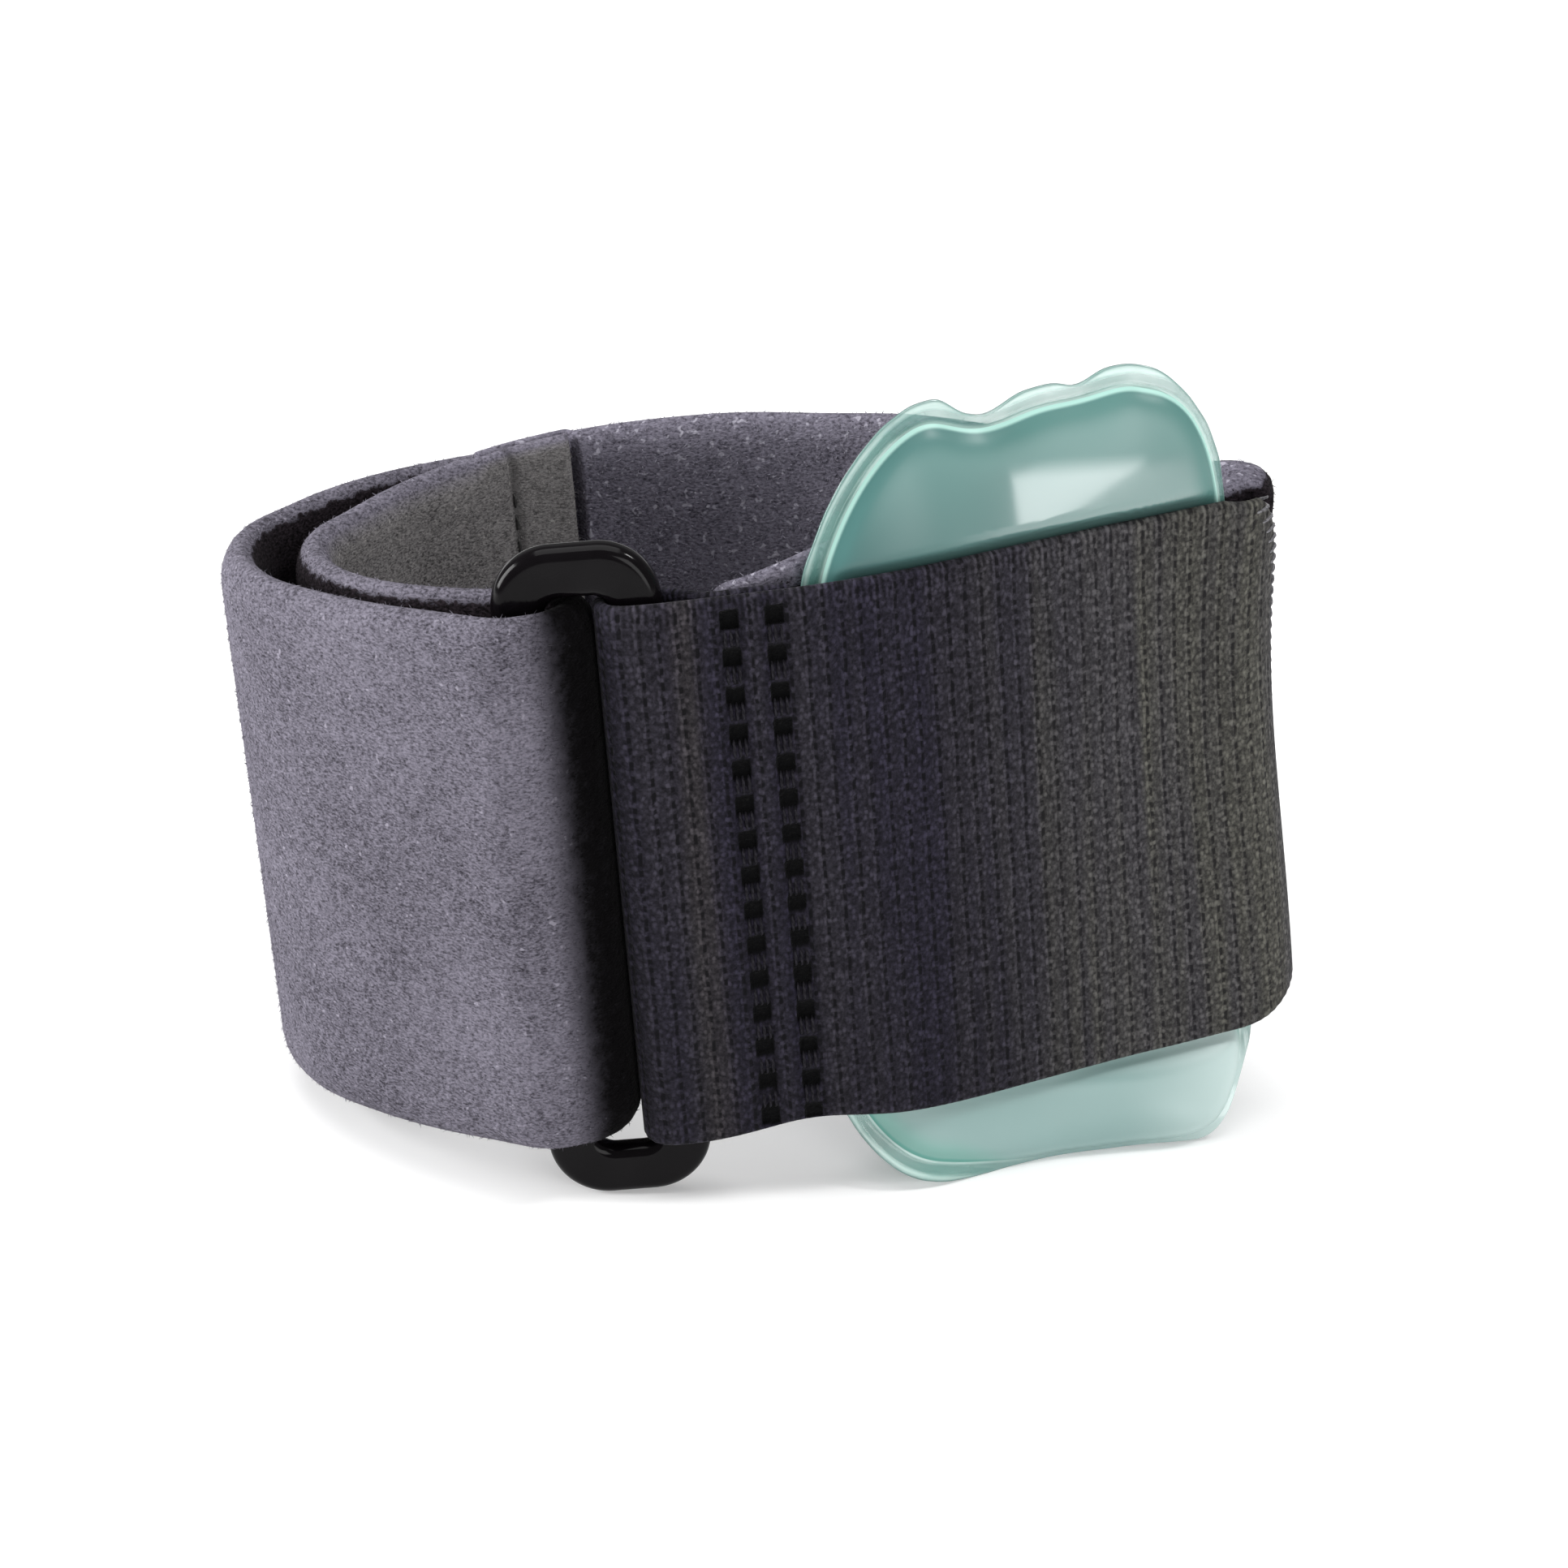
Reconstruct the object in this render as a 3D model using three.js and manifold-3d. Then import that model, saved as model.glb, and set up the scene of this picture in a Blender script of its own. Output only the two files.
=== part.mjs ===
// Pneumatic tennis elbow support: a padded forearm band, closed on itself through a plastic ring, with an air
// cell held in a pocket between the padding and a stretched elastic panel. Lengths are in millimetres.
// The band is laid out upright, its axis along z and its lower edge at z = 0, with the panel facing -y.
// It is then turned to stand on its three feet: the ring's lower end, the air cell and the strap's flap.
import * as THREE from "three";
import { mergeVertices } from "three/addons/utils/BufferGeometryUtils.js";
import Module from "manifold-3d";

const wasm = await Module();
wasm.setup();

const WIDTH = 76;               // of the band, along the arm
const PAD = 5.4;                // thickness of the padded straps
const NOSE = 4.6;               // how far the rounding of a padded edge runs down its faces
const ELASTIC = 1.8;            // thickness of the knitted panel
const CLEAR = 0.3;              // air left between neighbouring pieces
const STRAP = { low: 1.8, high: 76.3 };           // edges of the closure strap, a little narrower than the body

const RING = { x: -23.4, y: -32.3, width: 21.4, length: 91.2, thickness: 4.0, bar: 6.55, end: 6.8, corner: 7.9 };
const RING_ROUND = 1.7;         // rounding of the ring's edges

const FOLD = { x: 59, y: -6.35, radius: 3.9 };    // the padding's crease at the right end, on its middle line
const TIP = { from: 8.9, to: 7.9, end: 15 };      // the panel's radius round the crease, and where it ends
const WAIST = { pull: 1.9, from: 40, to: 66 };    // the right end is drawn in between its edges

const SEAM = { x: -1.9, apart: 6.1, pitch: 5, rows: 15, pit: 2.6, depth: 0.9 };   // ladder seam on the panel
const SEAM_PAD = 2.4;           // padding pressed flat under the ladder seam
const LAP = { strapEnd: -25, bodyEnd: -37, proud: 0.6 };    // lap seam at the back, as x of the two ends
const HOOK = { thickness: 1.2, from: -14, to: -40, low: 14, high: 58 };

const FLANGE = { width: 2.8, thickness: 0.8 };    // welded edge of the air cell
const CELL = { half: 5.2, swell: 10, flare: 5.2, free: 1.8 };
const FLAP_END = { x: -8, corner: 14, drop: 6.0, from: 80 };
const GATHER = { rise: 1.7, x: 1, reach: 9 };     // the ladder seam draws the panel's lower edge up
const FLATTENED = 0.8;          // how much of the strap's edge is pressed flat where it stands

// Middle line of the panel's outer layer, from the ladder seam to the right fold, and the room behind it.
const FRONT = [
  { x: -6.6, y: -34.95, room: 2.4 },
  { x: -2, y: -34.45, room: 2.4 },
  { x: 4, y: -33.75, room: 2.8 },
  { x: 8, y: -33.1, room: 4.1 },
  { x: 14, y: -31.75, room: 6.6 },
  { x: 22, y: -29.25, room: 9.2 },
  { x: 34, y: -24.65, room: 10.0 },
  { x: 44, y: -20.9, room: 6.9 },
  { x: 50, y: -18.95, room: 4.5 },
  { x: 57, y: -16.5, room: 2.3 },
];

// Middle line of the padded loop from the right fold round the back to the ring, and how far outside it the
// flap's middle line runs.
const LOOP = [
  { x: 57.0, y: 1.2, flap: 7.2 },
  { x: 48, y: 9.2, flap: 7.2 },
  { x: 36, y: 18.8, flap: 7.2 },
  { x: 20, y: 28.8, flap: 7.2 },
  { x: 5, y: 33.4, flap: 7.2 },
  { x: -9, y: 34.8, flap: 7.2 },
  { x: -22, y: 33.6, flap: 7.2 },
  { x: -32, y: 29.8, flap: 7.2 },
  { x: -40, y: 23.4, flap: 7.2 },
  { x: -48, y: 15.2, flap: 7.6 },
  { x: -54, y: 6.4, flap: 9.0 },
  { x: -57.6, y: 0.6, flap: 10.0 },
  { x: -58.2, y: -5.2, flap: 9.7 },
  { x: -56.2, y: -12.2, flap: 8.1 },
  { x: -51.6, y: -18.2, flap: 6.7 },
  { x: -45.3, y: -22.7, flap: 6.9 },
  { x: -38.5, y: -25.6, flap: 7.9 },
];

// Outline of the air cell's flange: its lower and upper edge, station by station along the panel's middle line.
const CELL_EDGE = [
  { x: 4.2, low: 6, high: 72 },
  { x: 5.4, low: 0.5, high: 77.2 },
  { x: 7.0, low: -2.8, high: 80.4 },
  { x: 8.8, low: -5.4, high: 84.0 },
  { x: 11.2, low: -8.0, high: 87.6 },
  { x: 14.0, low: -9.9, high: 90.6 },
  { x: 17.5, low: -11.2, high: 93.4 },
  { x: 21.5, low: -11.8, high: 95.2 },
  { x: 25.5, low: -12.0, high: 95.4 },
  { x: 28.8, low: -12.2, high: 93.6 },
  { x: 31.8, low: -12.4, high: 92.7 },
  { x: 36.0, low: -12.6, high: 94.0 },
  { x: 40.2, low: -12.9, high: 94.6 },
  { x: 42.6, low: -13.0, high: 93.5 },
  { x: 46.0, low: -13.2, high: 95.6 },
  { x: 49.0, low: -13.5, high: 95.8 },
  { x: 52.2, low: -13.8, high: 94.8 },
  { x: 54.8, low: -12.0, high: 92.6 },
  { x: 57.0, low: -8.0, high: 89.4 },
  { x: 58.8, low: -4.4, high: 86.0 },
  { x: 60.2, low: -1.0, high: 81.4 },
  { x: 61.0, low: 5, high: 74 },
];

const lerp = THREE.MathUtils.lerp;
const smooth = (x, from, to) => THREE.MathUtils.smoothstep(x, from, to);

// A smooth line in plan through given points, measured along its length.
class PlanLine {
  constructor(points) {
    const knots = points.map(([x, y]) => new THREE.Vector3(x, y, 0));
    this.curve = new THREE.CatmullRomCurve3(knots, false, "centripetal");
    this.curve.arcLengthDivisions = 4000;
    this.length = this.curve.getLength();
  }

  // Point, direction and right-hand normal at a distance along the line.
  at(distance) {
    const u = THREE.MathUtils.clamp(distance / this.length, 0, 1);
    const point = this.curve.getPointAt(u);
    const along = this.curve.getTangentAt(u);
    return { point, along, normal: new THREE.Vector3(along.y, -along.x, 0) };
  }

  // Distance along the line of its point nearest to (x, y).
  near(x, y) {
    const steps = 3000;
    let best = 0;
    let least = Infinity;
    for (let i = 0; i <= steps; i++) {
      const point = this.at(this.length * i / steps).point;
      const away = Math.hypot(point.x - x, point.y - y);
      if (away < least) {
        least = away;
        best = this.length * i / steps;
      }
    }
    return best;
  }

  // Stations between two distances, close together where the line bends, with the marks given among them.
  stations(from, to, marks = [], longest = 6, sharpest = 0.17) {
    const picked = [from];
    const steps = Math.ceil((to - from) / 0.15);
    let last = this.at(from).along;
    for (let i = 1; i < steps; i++) {
      const distance = lerp(from, to, i / steps);
      const along = this.at(distance).along;
      const since = distance - picked[picked.length - 1];
      if (since > longest || (along.angleTo(last) > sharpest && since > 0.5)) {
        picked.push(distance);
        last = along;
      }
    }
    const spaced = picked.filter((distance) => marks.concat(to).every((mark) => Math.abs(mark - distance) > 0.5));
    return [from, ...spaced, ...marks, to].sort((a, b) => a - b).filter((d, i, all) => i === 0 || d > all[i - 1]);
  }
}

// Points round a centre, between two angles in degrees, with the radius running from one value to another.
const arc = (x, y, radius, from, to, steps, last = radius) => Array.from({ length: steps + 1 }, (_, i) => {
  const angle = THREE.MathUtils.degToRad(lerp(from, to, i / steps));
  const away = lerp(radius, last, i / steps);
  return [x + away * Math.cos(angle), y + away * Math.sin(angle)];
});

// Closed body through a row of cross-sections that all have the same number of points. Each end is closed by
// rungs between the points j and mirror - j of its section.
function loft(sections, mirror) {
  const count = sections[0].length;
  const index = [];
  const face = (a, b, c) => {
    if (a !== b && b !== c && c !== a) {
      index.push(a, b, c);
    }
  };
  for (let i = 0; i + 1 < sections.length; i++) {
    for (let j = 0; j < count; j++) {
      const a = i * count + j;
      const b = i * count + (j + 1) % count;
      face(a, a + count, b);
      face(b, a + count, b + count);
    }
  }
  const spot = (row, j) => row * count + ((j % count) + count) % count;
  for (let k = 0; k < count / 2; k++) {
    const j = Math.floor(mirror / 2) - k;
    const far = sections.length - 1;
    face(spot(0, j), spot(0, mirror - j), spot(0, j - 1));
    face(spot(0, j - 1), spot(0, mirror - j), spot(0, mirror - j + 1));
    face(spot(far, mirror - j), spot(far, j), spot(far, j - 1));
    face(spot(far, mirror - j), spot(far, j - 1), spot(far, mirror - j + 1));
  }
  const geometry = new THREE.BufferGeometry();
  const positions = sections.flat().flatMap((p) => [p.x, p.y, p.z]);
  geometry.setAttribute("position", new THREE.Float32BufferAttribute(positions, 3));
  geometry.setIndex(index);
  return geometry;
}

// The right end of the band is drawn in a little between its two edges.
function drawIn(point) {
  const height = THREE.MathUtils.clamp(point.z / WIDTH, 0, 1);
  const pull = WAIST.pull * Math.sin(Math.PI * height ** 1.6);
  point.x -= pull * smooth(point.x, WAIST.from, WAIST.to);
  return point;
}

// Strap along a plan line. Its shape at a distance is given by shape(): the offsets of its two faces to the
// right of the line, its lower and upper edge, and the depth of its rounded edges.
function strap(line, stations, shape, rows) {
  const steps = 6;
  return loft(stations.map((distance) => {
    const { point, normal } = line.at(distance);
    const { inner, outer, low, high, nose } = shape(distance);
    const middle = (outer + inner) / 2;
    const half = (outer - inner) / 2;
    const ring = [];
    const put = (offset, z) => ring.push(drawIn(point.clone().addScaledVector(normal, offset).setZ(z)));
    for (let i = 0; i <= steps; i++) {
      const angle = Math.PI * i / steps;
      put(middle + half * Math.cos(angle), high - nose + nose * Math.sin(angle));
    }
    for (let i = 1; i < rows; i++) {
      put(inner, lerp(high - nose, low + nose, i / rows));
    }
    for (let i = 0; i <= steps; i++) {
      const angle = Math.PI * (1 + i / steps);
      put(middle + half * Math.cos(angle), low + nose + nose * Math.sin(angle));
    }
    for (let i = 1; i < rows; i++) {
      put(outer, lerp(low + nose, high - nose, i / rows));
    }
    return ring;
  }), steps);
}

// How far a corner of this radius has drawn in at a distance from the end.
function cornerInset(distance, radius) {
  const left = Math.max(0, radius - distance);
  return radius - Math.sqrt(Math.max(0, radius ** 2 - left ** 2));
}

function solid(geometry) {
  const bare = geometry.clone();
  bare.deleteAttribute("normal");
  bare.deleteAttribute("uv");
  const merged = mergeVertices(bare, 1e-4);
  return new wasm.Manifold(new wasm.Mesh({
    numProp: 3,
    vertProperties: new Float32Array(merged.attributes.position.array),
    triVerts: new Uint32Array(merged.index.array),
  }));
}

function fromSolid(body) {
  const mesh = body.getMesh();
  const geometry = new THREE.BufferGeometry();
  geometry.setAttribute("position", new THREE.Float32BufferAttribute(mesh.vertProperties, 3));
  geometry.setIndex(Array.from(mesh.triVerts));
  return geometry;
}

// Plan lines

// The front layer of the panel, as the line that the pocket is laid out from.
const frontRows = [
  ...FRONT.map(({ x, y }) => [x, y]),
  ...arc(FOLD.x, FOLD.y, TIP.from, -70, TIP.end, 6, TIP.to),
];
const frontLine = new PlanLine(frontRows);
const behind = (row) => {
  const { point, normal } = frontLine.at(frontLine.near(row.x, row.y));
  const back = point.addScaledVector(normal, -(ELASTIC / 2 + row.room + PAD / 2));
  return [back.x, back.y];
};

// The padding from the ladder seam behind the air cell, round the fold, across the back and round the left to
// the ring, then through its slot, round its left bar and back outside itself as the flap.
const barX = RING.x - RING.width / 2 + RING.bar - RING.thickness / 2;
const bend = RING.thickness / 2 + 0.4 + PAD / 2;
const innerRows = LOOP.map(({ x, y }) => [x, y]);
const innerLine = new PlanLine([
  ...FRONT.map(behind),
  ...arc(FOLD.x, FOLD.y, FOLD.radius, -90, 52, 6),
  ...innerRows,
  [barX - 3.5, RING.y + bend + 0.15],
  [barX, RING.y + bend],
]);
const outside = (row) => {
  const { point, normal } = innerLine.at(innerLine.near(row.x, row.y));
  point.addScaledVector(normal, row.flap);
  return [point.x, point.y];
};
const flapRows = LOOP.filter((row) => row.x < FLAP_END.x).map(outside).reverse();
const paddedLine = new PlanLine([
  ...FRONT.map(behind),
  ...arc(FOLD.x, FOLD.y, FOLD.radius, -90, 52, 6),
  ...innerRows,
  [barX - 3.5, RING.y + bend + 0.15],
  ...arc(barX, RING.y, bend, 90, -90, 8),
  [barX - 3.0, RING.y - bend - 0.1],
  ...flapRows,
]);

// The whole panel: its tail under the ladder seam, round the ring's right bar and along the front.
const eyeX = RING.x + RING.width / 2 - RING.bar + RING.thickness / 2;
const eye = RING.thickness / 2 + 0.4 + ELASTIC / 2;
const layer = ELASTIC + CLEAR;
const panelLine = new PlanLine([
  [2.8, -33.9 + layer],
  [-2, -34.45 + layer],
  [-7.2, -34.95 + layer],
  [eyeX + 3.5, RING.y + eye - 0.35],
  [eyeX + 1.7, RING.y + eye + 0.1],
  ...arc(eyeX, RING.y, eye, 90, 270, 8),
  [eyeX + 3.6, RING.y - eye + 0.03],
  ...frontRows,
]);

// Ring
function makeRing() {
  const { width, length, thickness, bar, end, corner } = RING;
  const rounded = (path, w, h, r) => {
    const corners = [[1, 1], [-1, 1], [-1, -1], [1, -1]];
    corners.forEach(([x, y], quarter) => {
      const from = quarter * Math.PI / 2;
      path.absarc(x * (w / 2 - r), y * (h / 2 - r), r, from, from + Math.PI / 2);
    });
    return path;
  };
  const outline = rounded(new THREE.Shape(), width, length, corner);
  outline.holes.push(rounded(new THREE.Path(), width - 2 * bar, length - 2 * end, 2.4));
  const geometry = new THREE.ExtrudeGeometry(outline, {
    depth: thickness - 2 * RING_ROUND,
    bevelThickness: RING_ROUND,
    bevelSize: RING_ROUND,
    bevelOffset: -RING_ROUND,
    bevelSegments: 4,
    curveSegments: 8,
  });
  geometry.translate(0, 0, -(thickness - 2 * RING_ROUND) / 2);
  geometry.rotateX(Math.PI / 2);
  geometry.translate(RING.x, RING.y, WIDTH / 2);
  return geometry;
}

// Knitted panel, with the pits of the ladder seam pressed into its face.
function makePanel() {
  const shape = (distance) => {
    const x = panelLine.at(distance).point.x;
    const low = GATHER.rise * Math.exp(-(((x - GATHER.x) / GATHER.reach) ** 2));
    return { inner: -ELASTIC / 2, outer: ELASTIC / 2, low, high: WIDTH, nose: ELASTIC / 2 };
  };
  let body = solid(strap(panelLine, panelLine.stations(0, panelLine.length), shape, 6));
  for (const side of [-0.5, 0.5]) {
    const { point, along, normal } = frontLine.at(frontLine.near(SEAM.x + side * SEAM.apart, -34.5));
    for (let i = 0; i < SEAM.rows; i++) {
      const pit = new THREE.BoxGeometry(SEAM.pit, 2 * SEAM.depth, SEAM.pit + 0.2);
      pit.rotateZ(Math.atan2(along.y, along.x));
      pit.translate(point.x, point.y, WIDTH / 2 + (i - (SEAM.rows - 1) / 2) * SEAM.pitch);
      pit.translate(normal.x * ELASTIC / 2, normal.y * ELASTIC / 2, 0);
      body = body.subtract(solid(pit));
    }
  }
  return fromSolid(body);
}

// Height in plan of the panel's middle line.
function frontY(x) {
  const after = FRONT.findIndex((row) => row.x > x);
  const [a, b] = after < 0 ? FRONT.slice(-2) : [FRONT[after - 1], FRONT[after]];
  return lerp(a.y, b.y, (x - a.x) / (b.x - a.x));
}

// Air cell: two films welded at a flange, swollen to fill the pocket and standing out above and below it.
function makeCell() {
  const first = CELL_EDGE[0].x;
  const last = CELL_EDGE[CELL_EDGE.length - 1].x;
  const rims = [0, FLANGE.width, FLANGE.width + 1.6, FLANGE.width + 4.6, FLANGE.width + 9];
  const even = 6;
  const front = [];
  const back = [];
  for (const { x, low, high } of CELL_EDGE) {
    const { point, normal } = frontLine.at(frontLine.near(x, frontY(x)));
    const padding = paddedLine.at(paddedLine.near(point.x, point.y)).point;
    const room = padding.distanceTo(point) - ELASTIC / 2 - PAD / 2;
    const mouth = Math.min(high - rims[4] - 2, WIDTH + 0.4);
    const foot = Math.max(low + rims[4] + 1, -0.4);
    const heights = [
      ...rims.map((rim) => low + rim),
      ...Array.from({ length: even + 1 }, (_, i) => lerp(foot, mouth, i / even)),
      ...rims.map((rim) => high - rim).reverse(),
    ];
    for (const [list, sign] of [[front, 1], [back, -1]]) {
      list.push(heights.map((z) => {
        const inside = Math.min(x - first, last - x, z - low, high - z) - FLANGE.width;
        const rise = THREE.MathUtils.clamp(inside / CELL.swell, 0, 1);
        const loose = CELL.free * Math.max(smooth(z, WIDTH + 0.5, WIDTH + 9), smooth(-z, 0.5, 9));
        const limit = room / 2 - CLEAR - 0.05 + loose;
        const thin = FLANGE.thickness / 2;
        const swollen = thin + (CELL.half - thin) * Math.sqrt(1 - (1 - rise) ** 2);
        const half = Math.max(thin, Math.min(swollen, limit));
        const flare = CELL.flare * smooth(-z, 0.5, 12);
        const offset = flare - ELASTIC / 2 - room / 2 + sign * half;
        return drawIn(point.clone().addScaledVector(normal, offset).setZ(z));
      }));
    }
  }
  return loft(front.map((column, i) => [...column, ...back[i].slice().reverse()]), -1);
}

// Padded body, pressed thin under the ladder seam and thinned on its inner side at the lap seam.
function makeBody() {
  const end = paddedLine.near(LAP.bodyEnd, 26.2);
  const lap = paddedLine.near(LAP.strapEnd, 32.7);
  const shape = (distance) => {
    const pressed = smooth(distance, 6, 26);
    const lapped = smooth(distance, lap - 4, lap - 1.5);
    const full = lerp(PAD / 2 - SEAM_PAD, -PAD / 2, pressed);
    const inset = cornerInset(distance, 6) + lerp(2.4, 0, pressed);
    return {
      inner: lerp(full, CLEAR / 2, lapped),
      outer: PAD / 2,
      low: inset,
      high: WIDTH - inset,
      nose: lerp(lerp(1.4, NOSE, pressed), 2.2, lapped),
    };
  };
  const marks = [0.5, 1.5, 3, 6, lap - 4, lap - 3.2, lap - 2.4, lap - 1.5];
  return strap(paddedLine, paddedLine.stations(0, end, marks), shape, 5);
}

// Closure strap, thinned on its outer side at the lap seam; its flap sags towards its rounded end.
function makeStrap() {
  const start = paddedLine.near(LAP.strapEnd, 32.7);
  const lapEnd = paddedLine.near(LAP.bodyEnd, 26.2);
  const end = paddedLine.length;
  const bar = paddedLine.near(barX + bend, RING.y);
  const shape = (distance) => {
    const lapped = 1 - smooth(distance, lapEnd + 1, lapEnd + 4);
    const proud = LAP.proud * (1 - smooth(distance, start + 6, start + 22));
    const inset = cornerInset(end - distance, FLAP_END.corner);
    const thin = cornerInset(end - distance, PAD / 2);
    const drop = FLAP_END.drop * smooth(distance, bar + FLAP_END.from, end);
    return {
      inner: -PAD / 2 - proud + 0.8 * thin,
      outer: lerp(PAD / 2, -CLEAR / 2, lapped) - 0.8 * thin,
      low: STRAP.low + inset - drop,
      high: STRAP.high - inset - drop,
      nose: lerp(NOSE, 2.2, lapped),
    };
  };
  const marks = [lapEnd + 1, lapEnd + 2, lapEnd + 3, lapEnd + 4];
  const tip = [14, 11, 8, 5.5, 3.5, 2, 1, 0.4].map((back) => end - back);
  return strap(paddedLine, paddedLine.stations(start, end, [...marks, ...tip]), shape, 1);
}

// Hook patch under the flap's end.
function makeHook() {
  const rows = LOOP.filter((row) => row.x < 0 && row.x > -50);
  const line = new PlanLine(rows.map((row) => outside({ ...row, flap: PAD / 2 + CLEAR + HOOK.thickness / 2 })));
  const from = line.near(HOOK.from, 38.5);
  const to = line.near(HOOK.to, 22);
  const shape = () => ({
    inner: -HOOK.thickness / 2,
    outer: HOOK.thickness / 2,
    low: HOOK.low,
    high: HOOK.high,
    nose: 0.4,
  });
  return strap(line, line.stations(from, to), shape, 1);
}

const pieces = [
  { name: "ring", geometry: makeRing(), color: 0x0b0b0d, roughness: 0.25 },
  { name: "elastic_panel", geometry: makePanel(), color: 0x29292c, roughness: 0.9 },
  { name: "air_cell", geometry: makeCell(), color: 0x7aa9a0, roughness: 0.3 },
  { name: "foam_body", geometry: makeBody(), color: 0x67666b, roughness: 0.95 },
  { name: "closure_strap", geometry: makeStrap(), color: 0x8e8b92, roughness: 0.95 },
  { name: "hook_tab", geometry: makeHook(), color: 0x141416, roughness: 0.9 },
];

// Stance: the plane that the three feet touch, found by taking each foot's lowest point square to the plane of
// the last three until it settles. The strap's edge is pressed flat where it stands.
function lowest(geometry, up) {
  const spots = geometry.attributes.position;
  let best = null;
  for (let i = 0; i < spots.count; i++) {
    const spot = new THREE.Vector3().fromBufferAttribute(spots, i);
    if (best === null || spot.dot(up) < best.dot(up)) {
      best = spot;
    }
  }
  return best;
}

const feet = ["ring", "air_cell", "closure_strap"].map((name) => pieces.find((piece) => piece.name === name).geometry);
const up = new THREE.Vector3(0, 0, 1);
const floor = new THREE.Plane();
for (let i = 0; i < 30; i++) {
  const [a, b, c] = feet.map((geometry) => lowest(geometry, up));
  c.addScaledVector(up, FLATTENED);
  floor.setFromCoplanarPoints(a, b, c);
  up.copy(floor.normal).multiplyScalar(Math.sign(floor.normal.z));
}
const stance = new THREE.Matrix4().makeRotationFromQuaternion(
  new THREE.Quaternion().setFromUnitVectors(up, new THREE.Vector3(0, 0, 1)),
);
const height = lowest(feet[0], up).dot(up);
stance.premultiply(new THREE.Matrix4().makeTranslation(0, 0, -height));

const ground = solid(new THREE.BoxGeometry(400, 400, 40).translate(0, 0, -20));
const box = new THREE.Box3();
for (const piece of pieces) {
  piece.geometry.applyMatrix4(stance);
  if (piece.name === "closure_strap") {
    piece.geometry = fromSolid(solid(piece.geometry).subtract(ground));
  }
  piece.geometry.computeBoundingBox();
  box.union(piece.geometry.boundingBox);
}

const group = new THREE.Group();
group.name = "pneumatic_tennis_elbow_support";
const centre = box.getCenter(new THREE.Vector3());
for (const { name, geometry, color, roughness } of pieces) {
  geometry.translate(-centre.x, -centre.y, -box.min.z);
  geometry.computeVertexNormals();
  const mesh = new THREE.Mesh(geometry, new THREE.MeshStandardMaterial({ color, roughness, metalness: 0 }));
  mesh.name = name;
  group.add(mesh);
}

export default group;
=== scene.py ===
import bpy
import numpy as np
from mathutils import Matrix, Quaternion


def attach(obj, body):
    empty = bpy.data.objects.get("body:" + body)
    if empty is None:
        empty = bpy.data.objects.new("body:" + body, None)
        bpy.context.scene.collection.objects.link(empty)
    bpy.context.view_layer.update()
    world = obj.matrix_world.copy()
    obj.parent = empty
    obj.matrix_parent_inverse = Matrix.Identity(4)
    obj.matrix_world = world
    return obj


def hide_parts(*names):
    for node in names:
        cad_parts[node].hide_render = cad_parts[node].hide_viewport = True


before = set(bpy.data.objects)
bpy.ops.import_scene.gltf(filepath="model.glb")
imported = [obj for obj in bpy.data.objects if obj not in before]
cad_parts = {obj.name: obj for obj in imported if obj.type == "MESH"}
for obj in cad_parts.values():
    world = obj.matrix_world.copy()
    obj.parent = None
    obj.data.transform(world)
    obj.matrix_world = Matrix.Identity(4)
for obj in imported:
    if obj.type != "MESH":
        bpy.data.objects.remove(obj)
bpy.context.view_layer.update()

# Camera: the photograph's view, from a little left of the band's front and 28 degrees above it.
# It is a portrait lens turned slightly about its own line of sight, with everything sharp.
scene = bpy.context.scene
scene.view_settings.view_transform = "Standard"
CAMERA = {
    "place": (-0.02023, -0.49038, 0.30239), "down": 28.04, "right": 2.62, "roll": 1.37, "lens": 93.75,
}
down = np.radians(CAMERA["down"])
aside = np.radians(CAMERA["right"])
roll = np.radians(CAMERA["roll"])
sight = np.array([np.sin(aside) * np.cos(down), np.cos(aside) * np.cos(down), -np.sin(down)])
level = np.cross(sight, [0.0, 0.0, 1.0])
level /= np.linalg.norm(level)
upright = np.cross(level, sight)
across = level * np.cos(roll) + upright * np.sin(roll)
axes = np.column_stack([across, np.cross(across, sight), -sight])
camera = bpy.data.objects.new("camera", bpy.data.cameras.new("camera"))
camera.data.lens = CAMERA["lens"]
camera.data.sensor_width = 36.0
camera.data.clip_start = 0.01
camera.matrix_world = Matrix.Translation(CAMERA["place"]) @ Matrix(axes.tolist()).to_4x4()
scene.collection.objects.link(camera)
scene.camera = camera

# Foam body: the padded half of the loop, from behind the panel round the right fold and across the back.
# It is foam between two laminated cloths, grey looped pile on the skin side and black loop outside, cut to
# a soft-edged strip, pressed flat under the front seam and thinned where the strap laps on to it.
WIDTH = 76.0           # of the band, along the arm; sizes are in millimetres, in the band's own frame
PAD = 5.4              # thickness of the padded strips
NOSE = 4.6             # how far a padded edge's rounding runs down its faces
ELASTIC = 1.8          # thickness of the knitted panel
CLEAR = 0.3            # air between neighbours
RING = {"x": -23.4, "y": -32.3, "width": 21.4, "length": 91.2, "thick": 4.0, "bar": 6.55, "end": 6.8}
FOLD = {"x": 59.0, "y": -6.35, "radius": 3.9}
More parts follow.
